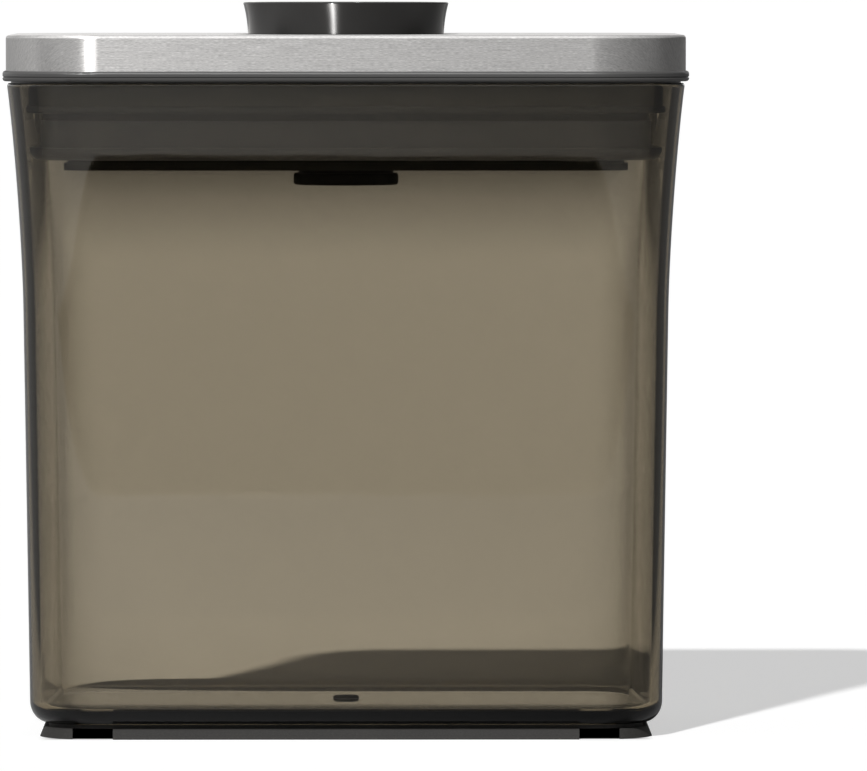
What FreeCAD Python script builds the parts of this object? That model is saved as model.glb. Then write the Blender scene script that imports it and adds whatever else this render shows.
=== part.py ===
import FreeCAD, Part
import collections
import math
import os

import Sketcher

# Storage jar with a push-button sealing lid, in millimetres, +Z up.
# The origin is the middle of the face that the jar stands on. X runs along the width, the front faces -Y.
# Every rounded rectangle is one core rectangle grown by a reach, which is also its corner radius.

SIZES = {
    # Core rectangle through the four corner axes
    "core_half_x": 58.3,
    "core_half_y": 30.8,
    # Foot ring
    "foot_height": 2.45,
    "foot_gap": 0.85,
    "foot_reach": 14.6,
    "foot_slant": 1.0,
    "foot_width": 8.0,
    "spigot_inset": 1.2,
    "spigot_width": 4.0,
    "spigot_depth": 1.2,
    "notch_place": 60.0,
    "notch_width": 9.6,
    # Jar
    "jar_height": 151.9,
    "jar_base_reach": 16.9,
    "jar_waist_reach": 18.4,
    "jar_rim_reach": 22.3,
    "flare_height": 55.2,
    "jar_wall": 2.6,
    "jar_floor": 3.5,
    "base_round": 5.0,
    "floor_round": 1.8,
    "rim_round": 0.7,
    "gate_radius": 3.1,
    "gate_height": 0.75,
    "gate_round": 0.6,
    # Lid edge, from the rim up
    "seat_height": 0.4,
    "seat_inset": 1.1,
    "bead_height": 2.5,
    "bead_reach": 23.2,
    "bead_round": 0.7,
    "bead_split": 0.25,
    "bead_split_height": 1.0,
    "cover_height": 8.5,
    "cover_reach": 22.5,
    "cover_sheet": 0.8,
    "cover_round": 0.8,
    "frame_wall": 2.0,
    "frame_ledge": 1.0,
    "fit_gap": 0.1,
    # Plug, from the rim down
    "skirt_depth": 5.3,
    "skirt_reach": 17.0,
    "lip_height": 1.7,
    "lip_reach": 17.6,
    "lip_round": 0.6,
    "neck_height": 1.8,
    "neck_wall": 1.6,
    "band_height": 6.4,
    "band_reach": 14.2,
    "flange_height": 2.9,
    "flange_reach": 16.8,
    "flange_round": 2.6,
    "lower_wall": 2.0,
    "lower_floor": 1.5,
    "cover_neck": 0.85,
    "cover_neck_inset": 0.9,
    "cover_plate": 1.65,
    "cover_plate_reach": 8.7,
    # Accessory hub
    "hub_neck_radius": 11.4,
    "hub_neck_height": 1.2,
    "hub_flange_radius": 12.6,
    "hub_flange_height": 2.9,
    "hub_round": 0.7,
    "hub_spigot_radius": 6.0,
    "hub_groove": 0.8,
    "hub_spigot_end": 0.3,
    "hub_ring_radius": 9.0,
    "hub_ring_height": 0.8,
    "hub_ring_slit": 3.0,
    # Button
    "press_travel": 7.7,
    "over_travel": 1.3,
    "seal_travel": 1.6,
    "knob_radius": 24.75,
    "knob_flare": 1.2,
    "knob_sink": 0.3,
    "knob_edge": 0.5,
    "knob_wall": 2.0,
    "knob_top": 2.4,
    "disc_radius": 22.0,
    "disc_height": 0.8,
    "disc_sink": 0.15,
    "plunger_inset": 0.45,
    "plunger_wall": 2.0,
    "plunger_plate": 2.0,
    "stop_lip": 1.3,
    "stop_lip_height": 1.0,
    # Guide of the button
    "guide_gap": 0.3,
    "tube_gap": 0.55,
    "tube_wall": 1.7,
    "collar_height": 3.0,
    "wing_drop": 2.0,
    "wing_height": 2.0,
    "wing_half_y": 24.0,
    "wing_end": 5.0,
    # Rockers
    "finger_length": 24.4,
    "finger_width": 5.0,
    "finger_half_height": 0.7,
    "tip_radius": 1.2,
    "barrel_radius": 2.6,
    "barrel_half_length": 19.7,
    "nose_half_length": 14.0,
    "pin_radius": 1.25,
    "pin_gap": 0.05,
    "ear_gap": 0.3,
    "ear_height": 3.0,
    "ear_half_width": 3.5,
    "ear_depth": 3.0,
    "rocker_gap": 0.2,
    "hook_gap": 0.5,
    "hook_height": 2.0,
    "hook_wall": 2.4,
    "hook_width": 8.0,
    # Latch wire and its cam track
    "wire_radius": 0.7,
    "latch_drop": 5.6,
    "latch_swing": 1.7,
    "latch_tip_gap": 0.5,
    "latch_clearance": 0.9,
    "track_margin": 0.3,
    "track_side": 0.4,
    "track_depth": 1.8,
    "track_back": 2.8,
    "track_back_side": 1.4,
    "heart_half_width": 0.8,
    "heart_notch": 0.7,
    "heart_point": 1.6,
    "bracket_half_width": 4.0,
    "bracket_roof": 1.8,
    "bracket_wall": 2.6,
    # Lift guides between the two frames
    "post_inset": 2.3,
    "post_radius": 2.5,
    "post_height": 17.4,
    "socket_wall": 1.6,
    "socket_drop": 13.5,
    # Return spring
    "spring_radius": 14.5,
    "spring_wire_radius": 0.7,
    "spring_seat_gap": 0.5,
    "spring_seat_wall": 1.5,
    "spring_seat_height": 2.5,
    # Screws
    "screw_radius": 1.25,
    "screw_hole_gap": 0.2,
    "screw_head_radius": 2.4,
    "screw_head_height": 1.4,
    "screw_bite": 3.2,
    "screw_slot_half": 1.5,
    "screw_slot_half_width": 0.3,
    "screw_slot_depth": 0.7,
    "boss_wall": 1.9,
    "guide_screw_x": 36.0,
    "guide_screw_y": 19.0,
    "cover_screw_x": 36.0,
    "cover_screw_y": 26.0,
    "knob_screw_place": 8.5,
    # Run-out of a cut past the face that it opens
    "overrun": 1.0,
}

SPRING_TURNS = 5.5
KNOB_SCREWS = 3
SIDES = (-1, 1)
QUARTERS = ((1, 1), (-1, 1), (-1, -1), (1, -1))

# Where a rocker's finger meets the stop lip, as shares of the lip's middle radius
FINGER_X_SHARE = 0.92
FINGER_Y_SHARE = 0.39

doc = FreeCAD.newDocument("storage_jar")


class Size:
    """A length or angle, with its value and the sheet expression that it comes from."""

    def __init__(self, value, text):
        self.value = value
        self.text = text

    def __neg__(self):
        return Size(-self.value, f"(-{self.text})")

    def __add__(self, other):
        return Size(self.value + other.value, f"({self.text} + {other.text})")

    def __sub__(self, other):
        return Size(self.value - other.value, f"({self.text} - {other.text})")

    def __mul__(self, factor):
        return Size(self.value * factor, f"({self.text} * {factor})")

    def __truediv__(self, factor):
        return Size(self.value / factor, f"({self.text} / {factor})")

    def per(self, other):
        """The ratio of this size to another."""
        return Size(self.value / other.value, f"({self.text} / {other.text})")

    def times(self, ratio):
        """This size multiplied by a ratio of two others."""
        return Size(self.value * ratio.value, f"({self.text} * {ratio.text})")


ZERO = Size(0.0, "0")


def arcsine(ratio):
    """The angle, in degrees, whose sine is the ratio."""
    return Size(math.degrees(math.asin(ratio.value)), f"asin({ratio.text})")


def arctangent(ratio):
    """The angle, in degrees, whose tangent is the ratio."""
    return Size(math.degrees(math.atan(ratio.value)), f"atan({ratio.text})")


def slant_length(first, second):
    """The length of a slant with two given legs."""
    return Size(math.hypot(first.value, second.value), f"sqrt({first.text} ^ 2 + {second.text} ^ 2)")


def make_sheet():
    """Writes the driving sizes to a sheet and returns them as a namespace of Size values."""
    sheet = doc.addObject("Spreadsheet::Sheet", "sizes")
    for row, (name, value) in enumerate(SIZES.items(), start=1):
        sheet.set(f"A{row}", name)
        sheet.set(f"B{row}", str(value))
        sheet.setAlias(f"B{row}", name)
    doc.recompute()
    Sheet = collections.namedtuple("Sheet", SIZES)
    return Sheet(*(Size(float(sheet.get(name)), f"sizes.{name}") for name in SIZES))


s = make_sheet()

# Levels along Z, from the ground up
jar_base_z = s.foot_height + s.foot_gap
floor_z = jar_base_z + s.jar_floor
rim_z = jar_base_z + s.jar_height
bead_base_z = rim_z + s.seat_height
bead_top_z = bead_base_z + s.bead_height
lid_top_z = bead_top_z + s.cover_height
frame_top_z = lid_top_z - s.cover_sheet
frame_roof_z = frame_top_z - s.frame_wall
skirt_end_z = rim_z - s.skirt_depth
lip_base_z = skirt_end_z - s.lip_height
band_top_z = lip_base_z - s.neck_height
flange_top_z = band_top_z - s.band_height
lower_base_z = flange_top_z - s.flange_height
lower_floor_z = lower_base_z + s.lower_floor
plate_top_z = lower_base_z - s.cover_neck
plate_base_z = plate_top_z - s.cover_plate
hub_flange_z = plate_base_z - s.hub_neck_height
hub_base_z = hub_flange_z - s.hub_flange_height

# Button and its guide
full_travel = s.press_travel + s.over_travel
knob_base_z = lid_top_z - s.knob_sink
knob_top_z = lid_top_z + s.press_travel
knob_base_radius = s.knob_radius - s.knob_flare
plunger_radius = knob_base_radius - s.plunger_inset
plunger_bore = plunger_radius - s.plunger_wall
plunger_roof_z = knob_base_z - s.plunger_plate
stop_lip_radius = plunger_radius + s.stop_lip
collar_top_z = knob_base_z - full_travel - s.guide_gap
collar_base_z = collar_top_z - s.collar_height
plunger_base_z = collar_base_z - s.stop_lip_height
tube_bore = s.knob_radius + s.tube_gap
tube_radius = tube_bore + s.tube_wall
wing_top_z = frame_roof_z - s.wing_drop
wing_base_z = wing_top_z - s.wing_height

# Rockers: level at half travel, so that they swing evenly to both sides
lip_middle_radius = (plunger_bore + stop_lip_radius) / 2
finger_y = lip_middle_radius * FINGER_Y_SHARE
pivot_x = lip_middle_radius * FINGER_X_SHARE + s.finger_length
pivot_z = plunger_base_z - s.rocker_gap - s.tip_radius - full_travel / 2
nose_length = s.finger_length.times(s.seal_travel.per(full_travel))
rocker_tilt = arcsine((full_travel / 2).per(s.finger_length))
ear_start_y = s.barrel_half_length + s.ear_gap
ear_end_y = ear_start_y + s.ear_depth

# Latch wire: hangs beside the guide tube and leans into the first channel of the track
latch_tip_z = collar_base_z + s.latch_tip_gap + s.wire_radius
latch_pivot_z = latch_tip_z + s.latch_drop
latch_lean = arctangent(s.latch_swing.per(s.latch_drop))
latch_length = slant_length(s.latch_swing, s.latch_drop)
latch_y = tube_radius + s.latch_clearance + s.wire_radius
track_floor_y = plunger_radius - s.track_depth


# Sketches

Corner = collections.namedtuple("Corner", "x y round bend", defaults=(None, None))
Edge = collections.namedtuple("Edge", "index start end")


def bind(holder, path, size):
    """Ties one property of an object to a size."""
    holder.setExpression(path, size.text)


def new_body(label):
    """A sub-part, which may hold several separate solids."""
    body = doc.addObject("PartDesign::Body", label)
    body.Label = label
    body.AllowCompound = True
    return body


def new_sketch(body, name, plane, offset):
    """A sketch on one of the body's own planes, moved along its normal."""
    sketch = body.newObject("Sketcher::SketchObject", name)
    support = next(item for item in body.Origin.OriginFeatures if item.Role == plane)
    sketch.AttachmentSupport = [(support, "")]
    sketch.MapMode = "FlatFace"
    bind(sketch, "AttachmentOffset.Base.z", offset)
    return sketch


def relate(sketch, kind, *where):
    """Adds a constraint without a size."""
    return sketch.addConstraint(Sketcher.Constraint(kind, *where))


def measure(sketch, kind, *where):
    """Adds a constraint whose last entry is a size, and ties it to that size."""
    size = where[-1]
    index = relate(sketch, kind, *where[:-1], size.value)
    bind(sketch, f"Constraints[{index}]", size)


def place(sketch, geometry, position, x, y):
    """Fixes a point of the sketch."""
    measure(sketch, "DistanceX", -1, 1, geometry, position, x)
    measure(sketch, "DistanceY", -1, 1, geometry, position, y)


def add_line(sketch, start, end):
    index = sketch.addGeometry(Part.LineSegment(start, end), False)
    return Edge(index, 1, 2)


def add_arc(sketch, centre, start, end, leftward):
    """An arc that runs from start to end, turning left or right."""
    first, last = (start, end) if leftward else (end, start)
    circle = Part.Circle(centre, FreeCAD.Vector(0, 0, 1), (start - centre).Length)
    angles = [math.atan2(point.y - centre.y, point.x - centre.x) for point in (first, last)]
    index = sketch.addGeometry(Part.ArcOfCircle(circle, *angles), False)
    return Edge(index, 1, 2) if leftward else Edge(index, 2, 1)


def left_of(direction):
    return FreeCAD.Vector(-direction.y, direction.x, 0)


def unit(vector):
    return vector / vector.Length


def tangent_arc(sketch, start, end, direction, at_start):
    """An arc between two points that follows a direction at its start or at its end."""
    contact, other = (start, end) if at_start else (end, start)
    chord = other - contact
    side = left_of(unit(direction))
    reach = chord.dot(chord) / (2 * side.dot(chord))
    return add_arc(sketch, contact + side * reach, start, end, reach > 0)


def rounding(before, corner, after, radius):
    """Where a rounded corner's arc starts, its centre and where it ends."""
    back = unit(before - corner)
    ahead = unit(after - corner)
    half = back.getAngle(ahead) / 2
    run = radius / math.tan(half)
    centre = corner + unit(back + ahead) * (radius / math.sin(half))
    return corner + back * run, centre, corner + ahead * run


def draw_outline(sketch, corners):
    """Draws and fully constrains a closed outline of lines, rounded corners and tangent bends."""
    count = len(corners)
    points = [FreeCAD.Vector(corner.x.value, corner.y.value, 0) for corner in corners]
    starts, ends, arcs = list(points), list(points), {}
    for i, corner in enumerate(corners):
        if corner.round:
            before, after = points[i - 1], points[(i + 1) % count]
            starts[i], centre, ends[i] = rounding(before, points[i], after, corner.round.value)
            leftward = left_of(points[i] - before).dot(after - points[i]) > 0
            arcs[i] = add_arc(sketch, centre, starts[i], ends[i], leftward)
    edges = []
    for i, corner in enumerate(corners):
        following = (i + 1) % count
        start, end = ends[i], starts[following]
        if corner.bend == "leaving":
            edges.append(tangent_arc(sketch, start, end, points[i] - points[i - 1], True))
        elif corners[following].bend == "arriving":
            onward = points[(i + 2) % count] - points[following]
            edges.append(tangent_arc(sketch, start, end, onward, False))
        else:
            edges.append(add_line(sketch, start, end))
    for i, corner in enumerate(corners):
        join_corner(sketch, corner, edges[i - 1], arcs.get(i), edges[i])


def join_corner(sketch, corner, before, arc, after):
    """Joins two edges at a corner, through its arc if it has one, and fixes the corner's place."""
    if arc is None:
        kind = "Tangent" if corner.bend else "Coincident"
        relate(sketch, kind, before.index, before.end, after.index, after.start)
        place(sketch, after.index, after.start, corner.x, corner.y)
        return
    relate(sketch, "Tangent", before.index, before.end, arc.index, arc.start)
    relate(sketch, "Tangent", arc.index, arc.end, after.index, after.start)
    measure(sketch, "Radius", arc.index, corner.round)
    tip = sketch.addGeometry(Part.Point(FreeCAD.Vector(corner.x.value, corner.y.value, 0)), True)
    relate(sketch, "PointOnObject", tip, 1, before.index)
    relate(sketch, "PointOnObject", tip, 1, after.index)
    place(sketch, tip, 1, corner.x, corner.y)


def outline(*corners):
    """A drawing of a closed outline."""
    return lambda sketch: draw_outline(sketch, [Corner(*corner) for corner in corners])


def rectangle(low_x, high_x, low_y, high_y):
    """A drawing of a rectangle."""
    return outline((low_x, low_y), (high_x, low_y), (high_x, high_y), (low_x, high_y))


def disc(radius, x=ZERO, y=ZERO):
    """A drawing of a circle."""

    def draw(sketch):
        centre = FreeCAD.Vector(x.value, y.value, 0)
        index = sketch.addGeometry(Part.Circle(centre, FreeCAD.Vector(0, 0, 1), radius.value), False)
        place(sketch, index, 3, x, y)
        measure(sketch, "Radius", index, radius)

    return draw


def core_outline(reach):
    """A drawing of the core rectangle grown by a reach, starting in the middle of the +X side."""

    def draw(sketch):
        side_middle = FreeCAD.Vector((s.core_half_x + reach).value, 0, 0)
        edges = []
        centres = [(s.core_half_x * i, s.core_half_y * j) for i, j in QUARTERS]
        start = side_middle
        for turn, (x, y) in enumerate(centres):
            centre = FreeCAD.Vector(x.value, y.value, 0)
            outward = FreeCAD.Vector(math.cos(turn * math.pi / 2), math.sin(turn * math.pi / 2), 0)
            first = centre + outward * reach.value
            last = centre + left_of(outward) * reach.value
            edges.append(add_line(sketch, start, first))
            edges.append(add_arc(sketch, centre, first, last, True))
            place(sketch, edges[-1].index, 3, x, y)
            measure(sketch, "Radius", edges[-1].index, reach)
            start = last
        edges.append(add_line(sketch, start, side_middle))
        for before, after in zip(edges, edges[1:]):
            relate(sketch, "Tangent", before.index, before.end, after.index, after.start)
        relate(sketch, "Coincident", edges[-1].index, 2, edges[0].index, 1)
        relate(sketch, "PointOnObject", edges[0].index, 1, -1)

    return draw


# Features

def extrude(body, name, kind, plane, offset, length, reversed_way, draw):
    """A pad or pocket of a drawing on a plane."""
    sketch = new_sketch(body, f"{name}_sketch", plane, offset)
    draw(sketch)
    doc.recompute()
    feature = body.newObject(f"PartDesign::{kind}", name)
    feature.Profile = sketch
    feature.Reversed = reversed_way
    bind(feature, "Length", length)
    doc.recompute()
    return feature


def pad(body, name, low, high, draw):
    """Solid between two heights."""
    return extrude(body, name, "Pad", "XY_Plane", low, high - low, False, draw)


def cut(body, name, low, high, draw):
    """Empties the solid between two heights."""
    return remove(body, lambda: extrude(body, name, "Pocket", "XY_Plane", low, high - low, True, draw))


def pad_along_y(body, name, near, far, draw):
    """Solid between two places along Y."""
    return extrude(body, name, "Pad", "XZ_Plane", -near, far - near, True, draw)


def cut_along_y(body, name, near, far, draw):
    """Empties the solid between two places along Y."""
    return remove(body, lambda: extrude(body, name, "Pocket", "XZ_Plane", -near, far - near, False, draw))


def remove(body, make_cut):
    """Makes a cut and raises an error if it took nothing away."""
    before = body.Shape.Volume
    feature = make_cut()
    if not body.Shape.Volume < before:
        raise RuntimeError(f"{feature.Label} cuts nothing")
    return feature


def revolve(body, name, *corners):
    """Solid of revolution about the body's own Z axis, from corners in radius and height."""
    sketch = new_sketch(body, f"{name}_sketch", "XZ_Plane", ZERO)
    outline(*corners)(sketch)
    doc.recompute()
    feature = body.newObject("PartDesign::Revolution", name)
    feature.Profile = sketch
    feature.ReferenceAxis = (sketch, ["V_Axis"])
    feature.Angle = 360
    doc.recompute()
    return feature


def ring(body, name, path_reach, *corners):
    """A section, in reach and height, carried round the core rectangle."""
    path = new_sketch(body, f"{name}_path", "XY_Plane", ZERO)
    core_outline(path_reach)(path)
    section = new_sketch(body, f"{name}_section", "XZ_Plane", ZERO)
    outline(*((s.core_half_x + corner[0], *corner[1:]) for corner in corners))(section)
    doc.recompute()
    feature = body.newObject("PartDesign::AdditivePipe", name)
    feature.Profile = (section, [""])
    feature.Spine = (path, [f"Edge{i + 1}" for i in range(len(path.Shape.Edges))])
    doc.recompute()
    return feature


def round_edges(body, name, radius, chosen):
    """Rounds the edges of the body that a test picks."""
    base = body.Tip
    edges = [f"Edge{i}" for i, edge in enumerate(base.Shape.Edges, start=1) if chosen(edge)]
    feature = body.newObject("PartDesign::Fillet", name)
    feature.Base = (base, edges)
    bind(feature, "Radius", radius)
    doc.recompute()
    return feature


def at_height(size):
    """A test for edges that lie level at a height."""
    return lambda edge: max(abs(v.Z - size.value) for v in edge.Vertexes) < Part.Precision.confusion()


def screw(body, name, x, y, seat_z, length):
    """A slotted screw driven upwards, with its head under the seat."""
    head_z = seat_z - s.screw_head_height
    pad(body, f"{name}_shank", seat_z, seat_z + length, disc(s.screw_radius, x, y))
    pad(body, f"{name}_head", head_z, seat_z, disc(s.screw_head_radius, x, y))
    slot = rectangle(
        x - s.screw_slot_half, x + s.screw_slot_half, y - s.screw_slot_half_width, y + s.screw_slot_half_width
    )
    cut(body, f"{name}_slot", head_z, head_z + s.screw_slot_depth, slot)


# Jar

def make_jar_body():
    body = new_body("jar_body")
    waist_z = rim_z - s.flare_height
    groove_outer = s.foot_reach - s.foot_slant - s.spigot_inset + s.fit_gap
    groove_inner = s.foot_reach - s.foot_slant - s.spigot_inset - s.spigot_width - s.fit_gap
    groove_z = jar_base_z + s.spigot_depth
    plate_reach = groove_inner - s.spigot_inset
    ring(
        body, "wall", s.jar_base_reach,
        (plate_reach, jar_base_z),
        (groove_inner, jar_base_z),
        (groove_inner, groove_z),
        (groove_outer, groove_z),
        (groove_outer, jar_base_z),
        (s.jar_base_reach, jar_base_z, s.base_round),
        (s.jar_waist_reach, waist_z, None, "leaving"),
        (s.jar_rim_reach, rim_z),
        (s.jar_rim_reach - s.jar_wall, rim_z),
        (s.jar_waist_reach - s.jar_wall, waist_z, None, "arriving"),
        (s.jar_base_reach - s.jar_wall, floor_z, s.floor_round),
        (plate_reach, floor_z),
    )
    pad(body, "floor", jar_base_z, floor_z, core_outline(plate_reach))
    pad(body, "gate_mark", floor_z, floor_z + s.gate_height, disc(s.gate_radius))
    round_edges(body, "gate_rounding", s.gate_round, at_height(floor_z + s.gate_height))
    round_edges(body, "rim_rounding", s.rim_round, at_height(rim_z))
    return body


def make_foot_ring():
    body = new_body("foot_ring")
    top_reach = s.foot_reach - s.foot_slant
    spigot_outer = top_reach - s.spigot_inset
    spigot_inner = spigot_outer - s.spigot_width
    inner = s.foot_reach - s.foot_width
    spigot_z = jar_base_z + s.spigot_depth
    ring(
        body, "foot", s.foot_reach,
        (inner, ZERO),
        (s.foot_reach, ZERO),
        (top_reach, s.foot_height),
        (spigot_outer, s.foot_height),
        (spigot_outer, spigot_z),
        (spigot_inner, spigot_z),
        (spigot_inner, s.foot_height),
        (inner, s.foot_height),
    )
    far_y = s.core_half_y + s.foot_reach + s.overrun
    for side in SIDES:
        middle = s.notch_place * side
        start_x, end_x = middle - s.notch_width / 2, middle + s.notch_width / 2
        window = rectangle(start_x, end_x, -s.overrun, s.foot_height)
        cut_along_y(body, f"notch_{'right' if side > 0 else 'left'}", -far_y, far_y, window)
    return body


# Lid shell

def make_steel_cover():
    body = new_body("steel_cover")
    inner = s.cover_reach - s.cover_sheet
    plate_reach = inner - s.cover_round
    ring(
        body, "edge", s.cover_reach,
        (plate_reach, frame_top_z),
        (inner, frame_top_z),
        (inner, bead_top_z),
        (s.cover_reach, bead_top_z),
        (s.cover_reach, lid_top_z, s.cover_round),
        (plate_reach, lid_top_z),
    )
    pad(body, "top", frame_top_z, lid_top_z, core_outline(plate_reach))
    cut(body, "button_hole", frame_top_z, lid_top_z + s.overrun, disc(tube_radius + s.fit_gap))
    return body


def make_lid_frame():
    body = new_body("lid_frame")
    wall_outer = s.cover_reach - s.cover_sheet - s.fit_gap
    wall_inner = wall_outer - s.frame_wall
    split_z = bead_base_z + s.bead_split_height
    seat_outer = s.jar_rim_reach - s.seat_inset
    skirt_inner = s.skirt_reach - s.frame_wall
    ledge_z = bead_base_z + s.frame_ledge
    ring(
        body, "edge", s.skirt_reach,
        (wall_inner, frame_top_z),
        (wall_inner, ledge_z),
        (skirt_inner, ledge_z),
        (skirt_inner, skirt_end_z),
        (s.skirt_reach, skirt_end_z),
        (s.skirt_reach, rim_z),
        (seat_outer, rim_z),
        (seat_outer, bead_base_z),
        (s.bead_reach, bead_base_z, s.bead_round),
        (s.bead_reach, split_z - s.bead_split),
        (s.bead_reach - s.bead_split, split_z),
        (s.bead_reach, split_z + s.bead_split),
        (s.bead_reach, bead_top_z, s.bead_round),
        (wall_outer, bead_top_z),
        (wall_outer, frame_top_z),
    )
    pad(body, "roof", frame_roof_z, frame_top_z, core_outline(wall_inner))
    cut(body, "guide_hole", frame_roof_z, frame_top_z + s.overrun, disc(tube_radius + s.fit_gap))
    post_x, post_y = s.core_half_x - s.post_inset, s.core_half_y - s.post_inset
    bore = s.post_radius + s.guide_gap
    socket_z = frame_roof_z - s.socket_drop
    for number, (i, j) in enumerate(QUARTERS, start=1):
        x, y = post_x * i, post_y * j
        pad(body, f"socket_{number}", socket_z, frame_roof_z, disc(bore + s.socket_wall, x, y))
        cut(body, f"socket_bore_{number}", socket_z, frame_roof_z, disc(bore, x, y))
        x, y = s.guide_screw_x * i, s.guide_screw_y * j
        pad(body, f"boss_{number}", wing_top_z, frame_roof_z, disc(s.screw_radius + s.boss_wall, x, y))
        cut(body, f"pilot_{number}", wing_top_z, wing_top_z + s.screw_bite, disc(s.screw_radius, x, y))
    return body


def make_gasket():
    body = new_body("gasket")
    neck_inner = s.band_reach - s.lower_wall
    neck_outer = neck_inner + s.neck_wall
    ring(
        body, "seal", s.band_reach,
        (neck_inner, skirt_end_z),
        (neck_inner, band_top_z),
        (neck_outer, band_top_z),
        (neck_outer, lip_base_z),
        (s.lip_reach, lip_base_z, s.lip_round),
        (s.lip_reach, skirt_end_z, s.lip_round),
    )
    return body


# Moving lower half of the plug

def make_lower_frame():
    body = new_body("lower_frame")
    inner = s.band_reach - s.lower_wall
    plate_reach = inner - s.lower_wall
    ring(
        body, "edge", s.band_reach,
        (plate_reach, lower_base_z),
        (s.flange_reach, lower_base_z, s.flange_round),
        (s.flange_reach, flange_top_z),
        (s.band_reach, flange_top_z),
        (s.band_reach, band_top_z),
        (inner, band_top_z),
        (inner, lower_floor_z),
        (plate_reach, lower_floor_z),
    )
    pad(body, "floor", lower_base_z, lower_floor_z, core_outline(plate_reach))
    seat_radius = s.spring_radius - s.spring_wire_radius - s.spring_seat_gap
    seat_top_z = lower_floor_z + s.spring_seat_height
    pad(body, "spring_seat", lower_floor_z, seat_top_z, disc(seat_radius))
    cut(body, "seat_well", lower_floor_z, seat_top_z, disc(seat_radius - s.spring_seat_wall))
    cut(body, "hub_hole", lower_base_z, lower_floor_z, disc(s.hub_spigot_radius + s.fit_gap))
    add_lift_posts(body)
    add_hooks(body)
    add_cover_bosses(body)
    return body


def add_lift_posts(body):
    """Posts that keep the lower frame square in the sockets of the lid frame."""
    for number, (i, j) in enumerate(QUARTERS, start=1):
        x, y = (s.core_half_x - s.post_inset) * i, (s.core_half_y - s.post_inset) * j
        pad(body, f"post_{number}", lower_floor_z, lower_floor_z + s.post_height, disc(s.post_radius, x, y))


def add_hooks(body):
    """Hooks that hang over the noses of the rockers."""
    hook_z = pivot_z - s.seal_travel / 2 + s.tip_radius + s.rocker_gap
    top_z = hook_z + s.hook_height
    start_x = pivot_x + s.barrel_radius + s.hook_gap
    wall_x = pivot_x + nose_length + s.tip_radius + s.hook_gap
    end_x = wall_x + s.hook_wall
    for number, (i, j) in enumerate(QUARTERS, start=1):
        low_y, high_y = finger_y * j - s.hook_width / 2, finger_y * j + s.hook_width / 2
        wall = rectangle(wall_x * i, end_x * i, low_y, high_y)
        pad(body, f"hook_wall_{number}", lower_floor_z, top_z, wall)
        hook = rectangle(start_x * i, end_x * i, low_y, high_y)
        pad(body, f"hook_{number}", hook_z, top_z, hook)


def add_cover_bosses(body):
    """Bosses that the screws of the cover plate bite into."""
    top_z = lower_base_z + s.screw_bite + s.boss_wall
    for number, (i, j) in enumerate(QUARTERS, start=1):
        x, y = s.cover_screw_x * i, s.cover_screw_y * j
        pad(body, f"boss_{number}", lower_floor_z, top_z, disc(s.screw_radius + s.boss_wall, x, y))
        cut(body, f"pilot_{number}", lower_base_z, lower_base_z + s.screw_bite, disc(s.screw_radius, x, y))


def make_lower_cover():
    body = new_body("lower_cover")
    pad(body, "plate", plate_base_z, plate_top_z, core_outline(s.cover_plate_reach))
    neck_reach = s.cover_plate_reach - s.cover_neck_inset
    pad(body, "neck", plate_top_z, lower_base_z, core_outline(neck_reach))
    cut(body, "hub_hole", plate_base_z, lower_base_z, disc(s.hub_spigot_radius + s.fit_gap))
    seat_z = plate_base_z + s.screw_head_height
    for number, (i, j) in enumerate(QUARTERS, start=1):
        x, y = s.cover_screw_x * i, s.cover_screw_y * j
        head_well = disc(s.screw_head_radius + s.screw_hole_gap, x, y)
        cut(body, f"head_well_{number}", plate_base_z, seat_z, head_well)
        hole = disc(s.screw_radius + s.screw_hole_gap, x, y)
        cut(body, f"screw_hole_{number}", seat_z, lower_base_z, hole)
    return body


def make_cover_screws():
    body = new_body("cover_screws")
    seat_z = plate_base_z + s.screw_head_height
    for number, (i, j) in enumerate(QUARTERS, start=1):
        length = lower_base_z + s.screw_bite - seat_z
        screw(body, f"screw_{number}", s.cover_screw_x * i, s.cover_screw_y * j, seat_z, length)
    return body


def make_accessory_hub():
    body = new_body("accessory_hub")
    ring_top_z = lower_floor_z + s.hub_ring_height
    end_z = ring_top_z + s.hub_spigot_end
    groove_radius = s.hub_spigot_radius - s.hub_groove
    revolve(
        body, "hub",
        (ZERO, hub_base_z),
        (s.hub_flange_radius, hub_base_z, s.hub_round),
        (s.hub_flange_radius, hub_flange_z, s.hub_round),
        (s.hub_neck_radius, hub_flange_z),
        (s.hub_neck_radius, plate_base_z),
        (s.hub_spigot_radius, plate_base_z),
        (s.hub_spigot_radius, lower_floor_z),
        (groove_radius, lower_floor_z),
        (groove_radius, ring_top_z),
        (s.hub_spigot_radius, ring_top_z),
        (s.hub_spigot_radius, end_z),
        (ZERO, end_z),
    )
    return body


def make_hub_ring():
    body = new_body("hub_ring")
    top_z = lower_floor_z + s.hub_ring_height
    pad(body, "ring", lower_floor_z, top_z, disc(s.hub_ring_radius))
    cut(body, "bore", lower_floor_z, top_z, disc(s.hub_spigot_radius - s.hub_groove + s.fit_gap))
    slit = rectangle(ZERO, s.hub_ring_radius + s.overrun, -s.hub_ring_slit / 2, s.hub_ring_slit / 2)
    cut(body, "slit", lower_floor_z, top_z, slit)
    return body


# Button

def knob_screw_places():
    """Places of the screws between knob and plunger, evenly round the axis."""
    for number in range(KNOB_SCREWS):
        turn = 2 * math.pi * number / KNOB_SCREWS
        yield number + 1, s.knob_screw_place * math.cos(turn), s.knob_screw_place * math.sin(turn)


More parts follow.
